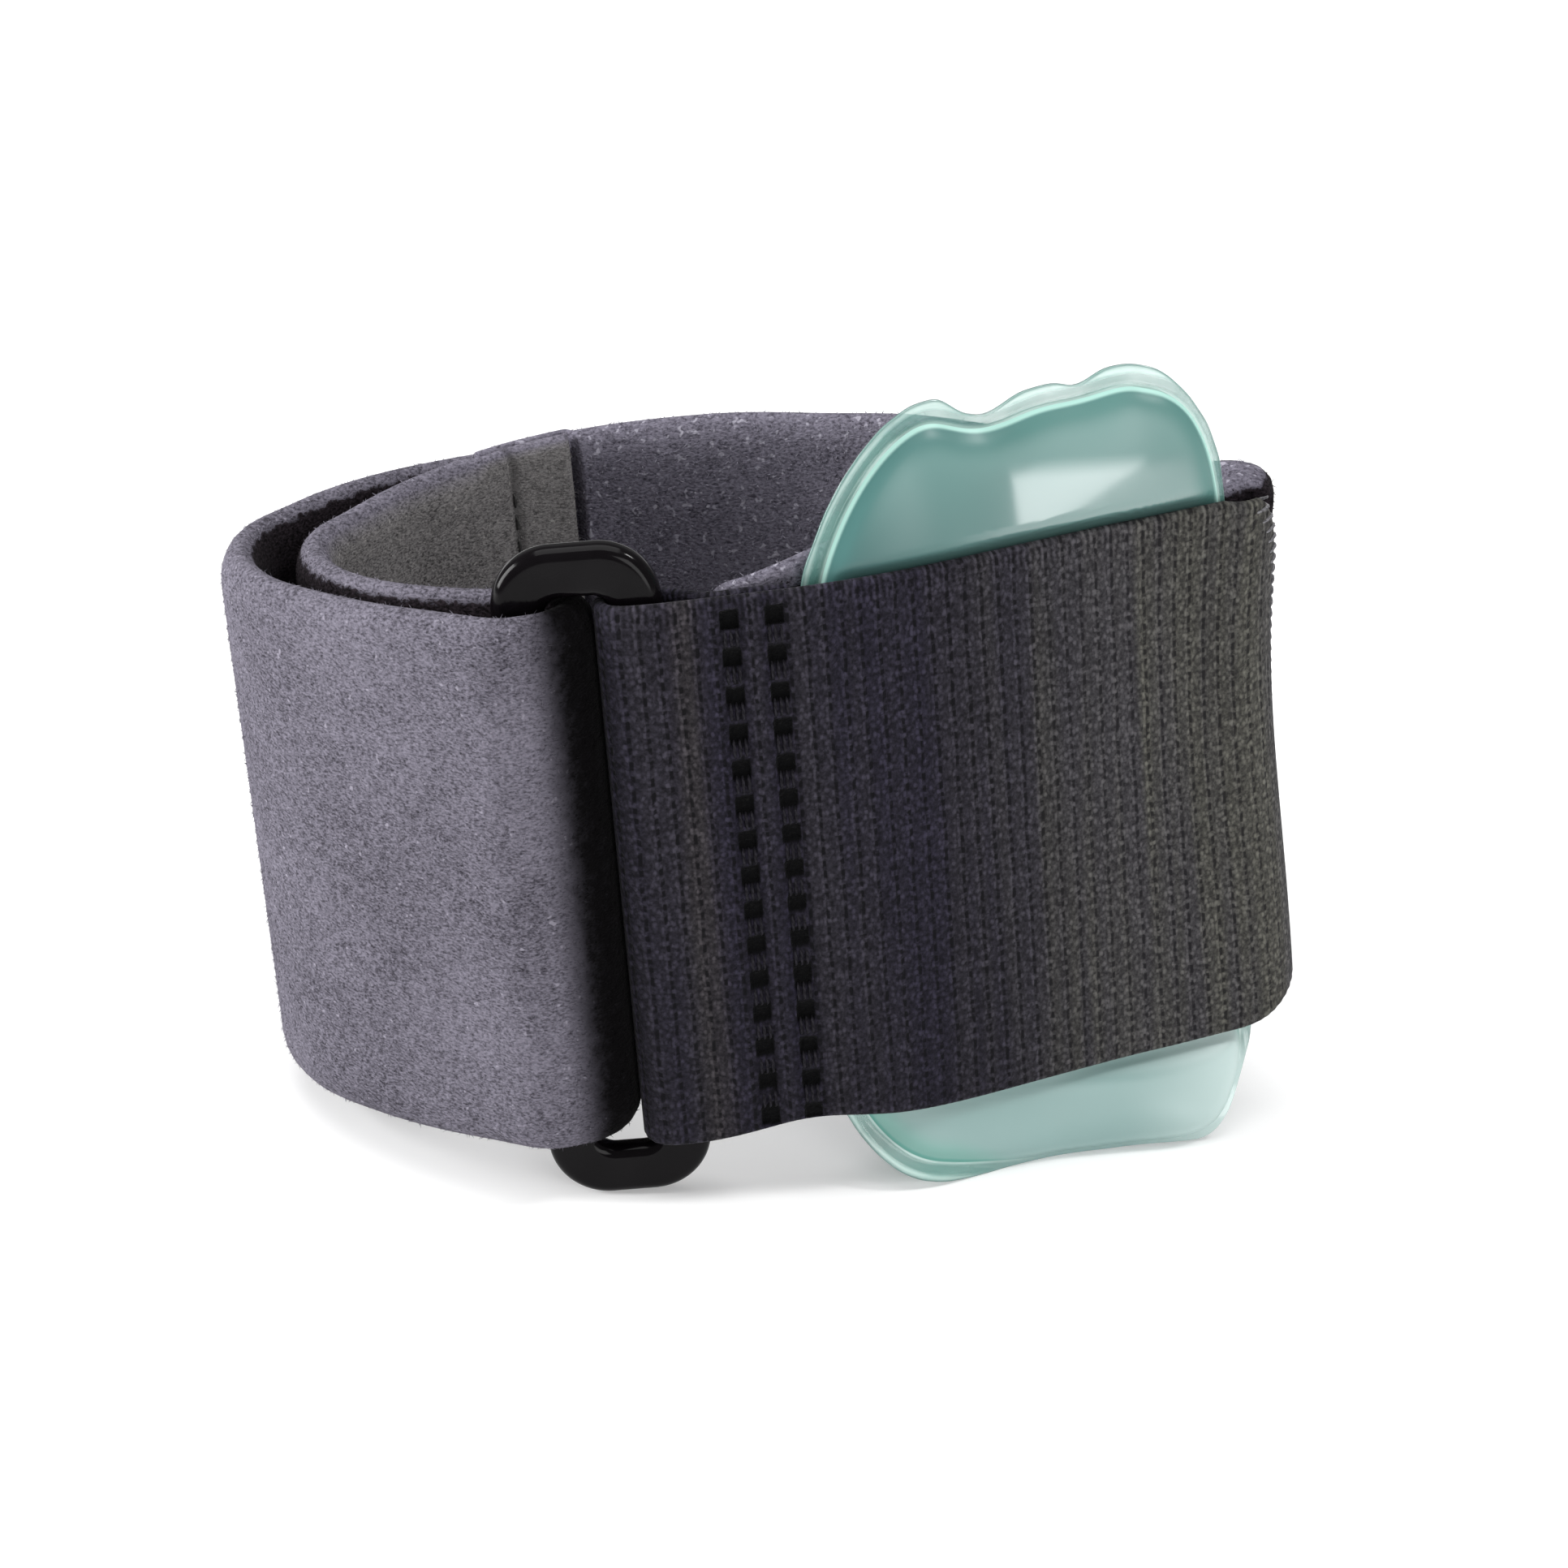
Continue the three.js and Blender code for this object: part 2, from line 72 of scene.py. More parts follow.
# The panel's end round the fold: its radius, where it stops in degrees, and its upper corner's cut.
TIP = {"from": 8.9, "to": 7.9, "mean": 8.4, "end": 15.0, "slant": 10.4, "fade": 11.0}
WAIST = {"pull": 1.9, "from": 40.0, "to": 66.0}
LAP = {"strap_end": (-25.9, 32.3), "body_end": (-37.0, 26.2), "proud": 0.6}
SEAM_PAD = 2.4         # thickness left under the front seam
LAP_NOSE = 2.2         # an edge's rounding where both strips are thinned
SEAM_END = {"from": 6.0, "to": 26.0, "corner": 6.0, "upper": 3.0, "inset": 2.4, "nose": 1.4}
FOLD_EDGE = {"lift": 2.6, "lift_reach": 7.5, "rise": 1.3, "rise_reach": 6.0}
RIM_RISE = 2.4         # of the upper edge beside the air cell
BODY_NAP = {"count": 22000, "long": 0.9, "thick": 0.07, "seed": 11}
# The panel's outer layer in plan, and the room behind it.
FRONT = np.array([
    # x, y, room
    (-6.6, -34.95, 2.4), (-2.0, -34.45, 2.4), (4.0, -33.75, 2.8), (8.0, -33.1, 4.1), (14.0, -31.75, 6.6),
    (22.0, -29.25, 9.2), (34.0, -24.65, 10.0), (44.0, -20.9, 6.9), (50.0, -18.95, 4.5), (57.0, -16.5, 2.3),
])
# The padded loop's middle line in plan, and how far outside it the flap runs.
LOOP = np.array([
    # x, y, flap
    (57.0, 1.2, 7.2), (48.0, 9.2, 7.2), (36.0, 18.8, 7.2), (20.0, 28.8, 7.2), (5.0, 33.4, 7.2),
    (-9.0, 34.8, 7.2), (-22.0, 33.6, 7.2), (-32.0, 29.8, 7.2), (-40.0, 23.4, 7.2), (-48.0, 15.2, 7.6),
    (-54.0, 6.4, 9.0), (-57.6, 0.6, 10.0), (-58.2, -5.2, 9.7), (-56.2, -12.2, 8.1), (-51.6, -18.2, 6.7),
    (-45.3, -22.7, 6.9), (-38.5, -25.6, 7.9),
])


class PlanLine:
    """Smooth line in plan: a centripetal Catmull-Rom spline through knots, eased and measured by length."""

    def __init__(self, knots, ease=0.7):
        knots = np.asarray(knots, float)
        ends = 2 * knots[[0, -1]] - knots[[1, -2]]
        path = np.vstack([ends[:1], knots, ends[1:]])
        gap = np.sqrt(np.linalg.norm(np.diff(path, axis=0), axis=1))[:, None]
        p0, p1, p2, p3 = path[:-3], path[1:-2], path[2:-1], path[3:]
        g0, g1, g2 = gap[:-2], gap[1:-1], gap[2:]
        leave = g1 * ((p1 - p0) / g0 - (p2 - p0) / (g0 + g1) + (p2 - p1) / g1)
        reach = g1 * ((p2 - p1) / g1 - (p3 - p1) / (g1 + g2) + (p3 - p2) / g2)
        t = np.linspace(0, 1, 160, endpoint=False)[None, :, None]
        curve = (2 * t**3 - 3 * t**2 + 1) * p1[:, None] + (t**3 - 2 * t**2 + t) * leave[:, None]
        curve = curve + (3 * t**2 - 2 * t**3) * p2[:, None] + (t**3 - t**2) * reach[:, None]
        dense = np.vstack([curve.reshape(-1, 2), knots[-1:]])
        step = 0.1
        run = np.concatenate([[0], np.cumsum(np.linalg.norm(np.diff(dense, axis=0), axis=1))])
        even = np.linspace(0, run[-1], int(run[-1] / step) + 1)
        line = np.column_stack([np.interp(even, run, dense[:, k]) for k in (0, 1)])
        reach_out = int(4 * ease / step)
        before = 2 * line[0] - line[reach_out:0:-1]
        after = 2 * line[-1] - line[-2:-2 - reach_out:-1]
        window = np.exp(-0.5 * (np.arange(-reach_out, reach_out + 1) * step / ease) ** 2)
        window /= window.sum()
        longer = np.vstack([before, line, after])
        self.points = np.column_stack([np.convolve(longer[:, k], window, "valid") for k in (0, 1)])
        pieces = np.linalg.norm(np.diff(self.points, axis=0), axis=1)
        self.run = np.concatenate([[0], np.cumsum(pieces)])
        self.length = self.run[-1]
        along = np.gradient(self.points, self.run, axis=0)
        along /= np.linalg.norm(along, axis=1)[:, None]
        self.normals = np.column_stack([along[:, 1], -along[:, 0]])

    def at(self, distance):
        """Points and right-hand normals at distances along the line."""
        point = [np.interp(distance, self.run, self.points[:, k]) for k in (0, 1)]
        normal = [np.interp(distance, self.run, self.normals[:, k]) for k in (0, 1)]
        return np.stack(point, -1), np.stack(normal, -1)

    def near(self, x, y):
        """Distance along the line of its point nearest to (x, y)."""
        return self.run[np.argmin(np.hypot(self.points[:, 0] - x, self.points[:, 1] - y))]


def arc(x, y, radius, start, stop, steps, last=None):
    """Points round (x, y) between two angles in degrees, the radius running evenly to its last value."""
    angle = np.radians(np.linspace(start, stop, steps + 1))
    away = np.linspace(radius, radius if last is None else last, steps + 1)
    return np.column_stack([x + away * np.cos(angle), y + away * np.sin(angle)])


def ease(value, low, high):
    """Smooth step: 0 below low, 1 above high, with level ends between."""
    t = np.clip((value - low) / (high - low), 0, 1)
    return t * t * (3 - 2 * t)


def corner(distance, radius):
    """How far a round corner of this radius has drawn in at a distance from the end."""
    left = np.maximum(0, radius - distance)
    return radius - np.sqrt(np.maximum(0, radius**2 - left**2))


def offset_rows(line, rows, away):
    """Each row's nearest point on a line, moved to the line's right by the row's distance."""
    at = np.array([line.near(x, y) for x, y in rows[:, :2]])
    point, normal = line.at(at)
    return point + normal * np.asarray(away)[:, None]


TIP_START = -70.0      # degrees round the fold
tip_arc = arc(FOLD["x"], FOLD["y"], TIP["from"], TIP_START, TIP["end"], 6, TIP["to"])
front_rows = np.vstack([FRONT[:, :2], tip_arc])
front_line = PlanLine(front_rows, 0.4)
behind = offset_rows(front_line, FRONT, -(ELASTIC / 2 + FRONT[:, 2] + PAD / 2))
bar_x = RING["x"] - RING["width"] / 2 + RING["bar"] - RING["thick"] / 2
bend = RING["thick"] / 2 + 0.4 + PAD / 2
loop_rows = np.vstack([
    behind,
    arc(FOLD["x"], FOLD["y"], FOLD["radius"], -90, 52, 6),
    LOOP[:, :2],
    [(bar_x - 3.5, RING["y"] + bend + 0.15)],
])
inner_line = PlanLine(np.vstack([loop_rows, [(bar_x, RING["y"] + bend)]]), 0.4)
flap_part = LOOP[LOOP[:, 0] < -8.0]
flap_rows = offset_rows(inner_line, flap_part, flap_part[:, 2])[::-1]
padded_line = PlanLine(np.vstack([
    loop_rows,
    arc(bar_x, RING["y"], bend, 90, -90, 8),
    [(bar_x - 3.0, RING["y"] - bend - 0.1)],
    flap_rows,
]), 0.6)


def draw_in(points):
    """The right end is drawn in between its edges: past the waist x falls by a sine of the height."""
    height = np.clip(points[..., 2] / WIDTH, 0, 1)
    pull = WAIST["pull"] * np.sin(np.pi * height**1.6)
    points[..., 0] -= pull * ease(points[..., 0], WAIST["from"], WAIST["to"])
    return points


def strip(line, distance, inner, outer, low, high, nose, rows, steps=10):
    """Sections of a strip along a plan line: flat faces at two offsets, a half ellipse over each edge.

    Gives the points by station and round the section, and how far across its thickness each lies, from -1
    on the inner face to 1 on the outer one.
    """
    sizes = (np.broadcast_to(v, distance.shape)[:, None] for v in (inner, outer, low, high, nose))
    inner, outer, low, high, nose = sizes
    turn = np.linspace(0, np.pi, steps + 1)[None, :]
    rung = np.linspace(0, 1, rows + 1)[None, 1:-1]
    top, foot = high - nose, low + nose
    face = np.ones_like(top) * np.ones_like(rung)
    over = np.ones_like(top) * np.cos(turn)
    across = np.hstack([over, -face, -over, face])
    round_over = nose * np.sin(turn)
    height = np.hstack([
        top + round_over, top + (foot - top) * rung, foot - round_over, foot + (top - foot) * rung,
    ])
    point, normal = line.at(distance)
    offset = (outer + inner) / 2 + (outer - inner) / 2 * across
    flat = point[:, None, :] + normal[:, None, :] * offset[..., None]
    points = draw_in(np.dstack([flat, height]))
    return points, across


LEAN = np.array([0.0917494, -0.0723526, 0.9931501])    # straight up, in the band's frame
SHIFT = np.array([4.742668, -4.445839, 7.669754])
skew = np.array([[0, 0, -LEAN[0]], [0, 0, -LEAN[1]], [LEAN[0], LEAN[1], 0]])
STANCE = np.eye(3) + skew + skew @ skew / (1 + LEAN[2])


def stand(points):
    """Band millimetres to the part's metres: leant so that LEAN is upright, lifted on to its feet, centred,
    and pressed flat where it would dip under the floor."""
    placed = (points @ STANCE.T + SHIFT) * 0.001
    placed[..., 2] = np.maximum(placed[..., 2], 0)
    return placed


def new_piece(name, points, faces, cut=None, **values):
    """Smooth-shaded piece from points in metres and faces, with cut lengths as UV and values by point."""
    mesh = bpy.data.meshes.new(name)
    mesh.from_pydata(points.reshape(-1, 3), [], faces)
    mesh.polygons.foreach_set("use_smooth", np.ones(len(mesh.polygons), bool))
    if cut is not None:
        mesh.uv_layers.new(name="cut").data.foreach_set("uv", cut.astype(np.float32).ravel())
    for key, value in values.items():
        by_point = mesh.attributes.new(key, "FLOAT", "POINT").data
        by_point.foreach_set("value", value.astype(np.float32).ravel())
    piece = bpy.data.objects.new(name, mesh)
    scene.collection.objects.link(piece)
    return piece


def tube_quads(count, loop):
    """Quads between neighbouring closed rows of a grid: count rows of loop points, numbered row by row."""
    i = np.arange(count - 1)[:, None] * loop
    j = np.arange(loop)[None, :]
    k = (j + 1) % loop
    return np.stack([i + j, i + loop + j, i + loop + k, i + k], -1).reshape(-1, 4)


def closed_strip(name, distance, points, crown=5, **values):
    """Closed body through a strip's sections: quads between neighbours, and rungs across each end.

    Point number crown is the middle of a section's top edge. A rung joins the two points that lie the
    same number of steps from it, and the first and last rungs are triangles.
    """
    count, loop = points.shape[:2]
    sides = tube_quads(count, loop)
    step = np.arange(loop // 2)
    rungs = np.stack([crown + step, crown + step + 1, crown - step - 1, crown - step], -1) % loop
    first = [rungs[1:-1], rungs[:1, [0, 1, 2]], rungs[-1:, [0, 1, 3]]]
    last = [rows[:, ::-1] for rows in first]
    around = np.linalg.norm(np.diff(points, axis=1, append=points[:, :1]), axis=2)
    around = np.hstack([np.zeros((count, 1)), np.cumsum(around, axis=1)])
    flat = np.stack([np.broadcast_to(distance[:, None], around.shape), around], -1) * 0.001
    cut = [np.stack([flat[:-1, :-1], flat[1:, :-1], flat[1:, 1:], flat[:-1, 1:]], 2).reshape(-1, 2)]
    cut += [flat[0][rows].reshape(-1, 2) for rows in first]
    cut += [flat[-1][rows].reshape(-1, 2) for rows in last]
    faces = sides.tolist()
    for rows in first + [rows + (count - 1) * loop for rows in last]:
        faces += rows.tolist()
    return new_piece(name, stand(points), faces, np.vstack(cut), **values)


def hand_wave(distance, height, amount):
    """Slight unevenness of handled cloth: three crossed sines along and up the strip."""
    slow = np.sin(distance / 9.1 + height / 31.0) + np.sin(distance / 5.3 - height / 13.0 + 1.9)
    return amount * (slow + 0.6 * np.sin(distance / 3.7 + height / 7.9 + 0.7))


def tip_stop(height):
    """Angle round the fold, in radians, at which the panel ends: its upper corner is cut back."""
    return np.radians(TIP["end"]) - TIP["slant"] / TIP["mean"] * np.exp((height - WIDTH) / TIP["fade"])


def tip_bulge(turned, height):
    """How far the padding swells outward where the panel's cut corner leaves it free: a step past the
    panel's end, fading behind the fold and down its height."""
    freed = ease(turned - tip_stop(height), 0.04, 0.3) * (1 - ease(turned, 1.0, 1.9))
    return 2.0 * freed * ease(height, 56, 70)


class Dye:
    """One socket in a material's nodes. Arithmetic with numbers or other sockets adds Math nodes."""

    def __init__(self, tree, socket=None):
        self.tree = tree
        self.socket = socket

    def node(self, kind, settings=None, inputs=None, output=0):
        """Adds a node, makes its settings, fills its sockets by value or link, and gives one output."""
        made = self.tree.nodes.new(kind)
        for key, value in (settings or {}).items():
            setattr(made, key, value)
        for key, value in (inputs or {}).items():
            if isinstance(value, Dye):
                self.tree.links.new(value.socket, made.inputs[key])
            else:
                made.inputs[key].default_value = value
        return Dye(self.tree, made.outputs[output])

    def math(self, operation, first, second):
        return self.node("ShaderNodeMath", {"operation": operation}, {0: first, 1: second})

    def __add__(self, other):
        return self.math("ADD", self, other)

    def __radd__(self, other):
        return self.math("ADD", other, self)

    def __sub__(self, other):
        return self.math("SUBTRACT", self, other)

    def __rsub__(self, other):
        return self.math("SUBTRACT", other, self)

    def __mul__(self, other):
        return self.math("MULTIPLY", self, other)

    def __rmul__(self, other):
        return self.math("MULTIPLY", other, self)

    def sine(self):
        return self.math("SINE", self, 0.0)

    def step(self, low, high):
        """0 below low, 1 above high, smooth between."""
        ends = {"Value": self, "From Min": low, "From Max": high}
        return self.node("ShaderNodeMapRange", {"interpolation_type": "SMOOTHSTEP"}, ends)

    def tint(self, first, second, blend="MIX"):
        """Colour from first at 0 to second at 1, or to first blended with second."""
        settings = {"data_type": "RGBA", "blend_type": blend}
        return self.node("ShaderNodeMix", settings, {0: self, 6: first, 7: second}, 2)

    def times(self, other):
        """Two colours multiplied."""
        settings = {"data_type": "RGBA", "blend_type": "MULTIPLY"}
        return self.node("ShaderNodeMix", settings, {0: 1.0, 6: self, 7: other}, 2)

    def value(self, name):
        """A value that the mesh holds by point."""
        return self.node("ShaderNodeAttribute", {"attribute_name": name}, output=2)

    def place(self):
        """The point on the piece, in metres."""
        return self.node("ShaderNodeTexCoord", output=3)

    def part(self, axis):
        """One part of a vector: 0, 1 or 2 for x, y or z."""
        return self.node("ShaderNodeSeparateXYZ", None, {0: self}, axis)

    def noise(self, where, scale, detail=2.0, rough=0.5):
        inputs = {"Vector": where, "Scale": scale, "Detail": detail, "Roughness": rough}
        return self.node("ShaderNodeTexNoise", None, inputs)

    def bump(self, height, strength, distance):
        inputs = {"Height": height, "Strength": strength, "Distance": distance}
        return self.node("ShaderNodeBump", None, inputs)


def new_finish(name, **sockets):
    """A material with one Principled shader whose plain sockets are set by value; gives the material, a Dye
    on its nodes and the shader."""
    material = bpy.data.materials.new(name)
    material.use_nodes = True
    shader = material.node_tree.nodes["Principled BSDF"]
    for key, value in sockets.items():
        shader.inputs[key.replace("_", " ").title().replace("Ior", "IOR")].default_value = value
    return material, Dye(material.node_tree), shader


def srgb(red, green, blue):
    """Linear colour of a screen colour from 0 to 255."""
    c = np.array([red, green, blue]) / 255
    return (*np.where(c <= 0.04045, c / 12.92, ((c + 0.055) / 1.055) ** 2.4).tolist(), 1.0)


def wet(dye, shader, **links):
    """Links sockets of the shader to the values that change over the surface."""
    for key, value in links.items():
        dye.tree.links.new(value.socket, shader.inputs[key.replace("_", " ").title()])


def pile_cloth(name, shadow, nap, fleck, flecks, grain):
    """Laminated cloth: brushed fibre on the skin side, its tone from noise at three scales with light
    flecks, and black loop on the outer side, told apart by the point value 'outer'. Further point values
    make the felt warmer and lighter, paint shade where it bends or sits in a groove, and lighten it
    ('fibre')."""
    material, dye, shader = new_finish(name, roughness=0.95, specular_ior_level=0.03, sheen_weight=0.02)
    where = dye.place()
    stretch = {0: where, 1: (0.75, 0.75, 1.4)}
    brushed = dye.node("ShaderNodeVectorMath", {"operation": "MULTIPLY"}, stretch)
    fine = dye.noise(brushed, 1 / (0.42 * grain), 3.0, 0.62)
    clump = dye.noise(where, 1 / (1.7 * grain), 2.0, 0.5)
    broad = dye.noise(where, 55.0, 2.0, 0.5)
    tone = (fine * 0.84 + clump * 0.2 + broad * 0.18).step(0.32, 0.9)
    spot = dye.noise(where, 1 / (0.95 * grain), 1.0, 0.4).step(flecks, flecks + 0.09)
    felt = (spot * 0.75).tint(tone.tint(shadow, nap), fleck)
    felt = dye.value("fibre").tint(felt, fleck)
    # The felt of the inner run made warmer and lighter.
    felt = dye.value("aged").tint(felt, (1.22, 1.24, 1.0, 1.0), "MULTIPLY")
    black = fine.step(0.3, 0.8).tint(srgb(7, 5, 6), srgb(46, 40, 45))
    # Painted shade: the felt goes near black where the strap bends round the ring's bar and in the lap
    # seam's groove, ragged by noise.
    crease_darkness = (dye.value("opened") + (fine - 0.5) * 0.6 + (clump - 0.5) * 0.4).step(-0.12, 1.0)
    edge = (dye.value("outer") + (clump - 0.5) * 0.2 + (fine - 0.5) * 0.2).step(0.79, 0.84)
    wet(dye, shader, base_color=edge.tint(crease_darkness.tint(felt, srgb(5, 4, 5)), black))
    wet(dye, shader, normal=dye.bump(fine * 0.7 + clump * 0.5, 0.6, 0.0006))
    return material


def nap_fibres(name, points, count, long, thick, seed, **fields):
    """Short fibres brushed up from a strip's surface: each is a closed three-sided cone whose root is a
    random place on the grid of sections, evenly spread by area, and which leans a random way."""
    draw = np.random.default_rng(seed)
    wrapped = np.concatenate([points, points[:, :1]], axis=1)
    along = np.diff(wrapped, axis=0)[:, :-1]
    round_about = np.diff(wrapped, axis=1)[:-1]
    normal = np.cross(along, round_about)
    area = np.linalg.norm(normal, axis=2)
    i, j = np.unravel_index(draw.choice(area.size, count, p=(area / area.sum()).ravel()), area.shape)
    up = normal[i, j] / area[i, j][:, None]
    side = along[i, j] / np.linalg.norm(along[i, j], axis=1)[:, None]
    shares = draw.random((2, count, 1))
    root = wrapped[i, j] + shares[0] * along[i, j] + shares[1] * round_about[i, j] - 0.05 * up
    turn = draw.uniform(0, 2 * np.pi, (count, 1))
    lean = np.radians(draw.uniform(8, 50, (count, 1)))
    way = np.cos(lean) * (np.cos(turn) * side + np.sin(turn) * np.cross(up, side)) + np.sin(lean) * up
    beside = np.cross(way, up)
    beside /= np.linalg.norm(beside, axis=1)[:, None]
    above = np.cross(beside, way)
    size = thick * draw.uniform(0.7, 1.3, (count, 1))
    foot = [root + size * (np.cos(a) * beside + np.sin(a) * above) for a in np.radians([90, 210, 330])]
    tip = root + way * long * draw.uniform(0.5, 1.2, (count, 1))
    cones = np.stack([*foot, tip], axis=1)
    faces = np.array([(1, 0, 3), (2, 1, 3), (0, 2, 3), (0, 1, 2)])
    faces = (np.arange(count)[:, None, None] * 4 + faces).reshape(-1, 3)
    values = {key: np.repeat(field[i, j], 4) for key, field in fields.items()}
    values["fibre"] = np.repeat(draw.random(count) ** 1.5 * 0.8, 4)
    return new_piece(name, stand(cones), faces.tolist(), **values)


body_lap = padded_line.near(*LAP["strap_end"])
body_end = padded_line.near(*LAP["body_end"])
fold_at = padded_line.near(FOLD["x"] + FOLD["radius"], FOLD["y"])
s = np.unique(np.round(np.concatenate([
    np.arange(0, 8, 0.4), np.arange(8, body_end, 0.9), np.arange(fold_at - 8, fold_at + 9, 0.25),
    np.arange(body_lap - 3, body_lap, 0.2), [body_end],
]), 4))
pressed = ease(s, SEAM_END["from"], SEAM_END["to"])
lapped = ease(s, body_lap - 1.7, body_lap - 0.4)
lift = FOLD_EDGE["lift"] * np.exp(-((s - fold_at) / FOLD_EDGE["lift_reach"]) ** 2)
inset = corner(s, SEAM_END["corner"]) + SEAM_END["inset"] * (1 - pressed)
rim = FOLD_EDGE["rise"] * np.exp(-((s - fold_at) / FOLD_EDGE["rise_reach"]) ** 2)
rim += RIM_RISE * ease(s, 1, 14) * (1 - ease(s, 20, 42)) - corner(s, SEAM_END["upper"])
full = (PAD / 2 - SEAM_PAD) * (1 - pressed) - PAD / 2 * pressed
nose = (SEAM_END["nose"] * (1 - pressed) + NOSE * pressed) * (1 - lapped) + LAP_NOSE * lapped
points, across = strip(
    padded_line, s, full * (1 - lapped) + CLEAR / 2 * lapped, PAD / 2, inset + lift,
    WIDTH + rim, nose, 40,
)
turned = (s - fold_at)[:, None] / FOLD["radius"]
freed = tip_bulge(turned, points[..., 2]) * ease(across, -0.2, 0.9)
points[..., :2] += padded_line.at(s)[1][:, None, :] * freed[..., None]
points[..., 2] += hand_wave(s[:, None], points[..., 2], 0.1) * pressed[:, None]
outer = across * 0.5 + 0.5 - 0.6 * (1 - ease(s, 20, 45))[:, None] * ease(points[..., 2], 74, 76)
body = closed_strip("foam_body_pile", s, points, outer=outer)
looped_pile = pile_cloth(
    "grey_looped_pile", srgb(40, 37, 46), srgb(138, 134, 148), srgb(168, 165, 177),
    flecks=0.64, grain=0.001,
)
body.data.materials.append(looped_pile)
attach(body, "root")
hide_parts("foam_body")
body_fibres = nap_fibres("foam_body_fibres", points, **BODY_NAP, outer=outer)
body_fibres.data.materials.append(looped_pile)
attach(body_fibres, "root")

# Closure strap: the same foam laminate with brushed grey felt on the skin side and black loop outside.
# Its end is lapped inside the body and sewn there; it runs round the left, through the ring, round the
# ring's left bar and back over itself, so that the flap shows its felt side, and stands on its lower edge.
STRAP = {"low": 1.8, "high": 76.3}
FLAP_END = {"corner": 14.0, "drop": 6.0, "from": 80.0}
BAR_FOLD = {"swell": 0.95, "pinch": 1.7}    # of the strap's inner face as it turns round the bar
LAP_SEAM = {
    "from_end": 10.2, "sunk": 0.6, "wide": 0.9, "stitch": 2.7, "pitch": 3.3, "low": 5.0, "high": 71.0,
}
STRAP_NAP = {"count": 42000, "long": 0.75, "thick": 0.06, "seed": 12}
strap_start = body_lap
strap_end = padded_line.length
bar_at = padded_line.near(bar_x + bend, RING["y"])
seam_at = strap_start + LAP_SEAM["from_end"]
tip = strap_end - np.array([14, 12, 10, 8, 6.5, 5, 4, 3, 2.2, 1.5, 1, 0.6, 0.3, 0.1, 0])
s = np.unique(np.round(np.concatenate([
    strap_start + np.array([0, 0.1, 0.25, 0.45, 0.7, 1.0, 1.3, 1.6]),
    np.arange(strap_start + 2, strap_end - 14.5, 0.8),
    np.arange(seam_at - 2, seam_at + 2, 0.2), np.arange(bar_at - 10, bar_at + 10, 0.4), tip,
]), 4))
lapped = 1 - ease(s, body_end + 1, body_end + 4)
proud = LAP["proud"] * (1 - ease(s, strap_start + 6, strap_start + 22))
inset = corner(strap_end - s, FLAP_END["corner"])
thin = corner(strap_end - s, PAD / 2)
drop = FLAP_END["drop"] * ease(s, bar_at + FLAP_END["from"], strap_end)
swell = BAR_FOLD["swell"] * np.exp(-((s - bar_at + 1.7) / 1.3) ** 2)
pinch = ease(s, bar_at - 0.5, bar_at + 4.5) * (1 - ease(s, bar_at + 7, bar_at + 15)) * BAR_FOLD["pinch"]
groove = np.exp(-((s - seam_at) / LAP_SEAM["wide"]) ** 2)
sunk = LAP_SEAM["sunk"] * groove + 0.9 * corner(s - strap_start, 1.6)
points, across = strip(
    padded_line, s, -PAD / 2 - proud - swell + pinch + sunk + 0.8 * thin,
    PAD / 2 * (1 - lapped) - CLEAR / 2 * lapped - 0.8 * thin,
    STRAP["low"] + inset - drop, STRAP["high"] - inset - drop, NOSE * (1 - lapped) + LAP_NOSE * lapped, 40,
)
outer = across * 0.5 + 0.5
# Warmer, lighter felt on the skin side of the inner run, fading out before the ring's bar.
aged = (1 - ease(s, bar_at - 45, bar_at - 5))[:, None] * (1 - ease(across, -0.99, -0.6))
# Painted shade: dark from about 12 mm before the ring's bar to about 11 mm past it, weaker in the lap
# seam's groove.
opened = 1.1 * (1 - ease(s, bar_at + 2.8, bar_at + 10.8)) * ease(s, bar_at - 12, bar_at - 4) - 0.1
opened = np.broadcast_to((opened + 0.45 * groove)[:, None], across.shape)
# Lighter felt towards the strap's lapped end, given through the 'fibre' value.
lap_end_lightening = 0.1 * (1 - ease(s, strap_start + 4, strap_start + 14))
lap_end_lightening = np.broadcast_to(lap_end_lightening[:, None], across.shape)
strap = closed_strip(
    "closure_strap_felt", s, points, outer=outer, aged=aged, opened=opened, fibre=lap_end_lightening,
)
brushed_felt = pile_cloth(
    "brushed_grey_felt", srgb(34, 32, 38), srgb(133, 129, 142), srgb(148, 144, 156),
    flecks=0.7, grain=0.0009,
)
strap.data.materials.append(brushed_felt)
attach(strap, "root")
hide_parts("closure_strap")
strap_fibres = nap_fibres(
    "closure_strap_fibres", points, **STRAP_NAP, outer=outer, aged=aged, opened=opened,
)
strap_fibres.data.materials.append(brushed_felt)
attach(strap_fibres, "root")


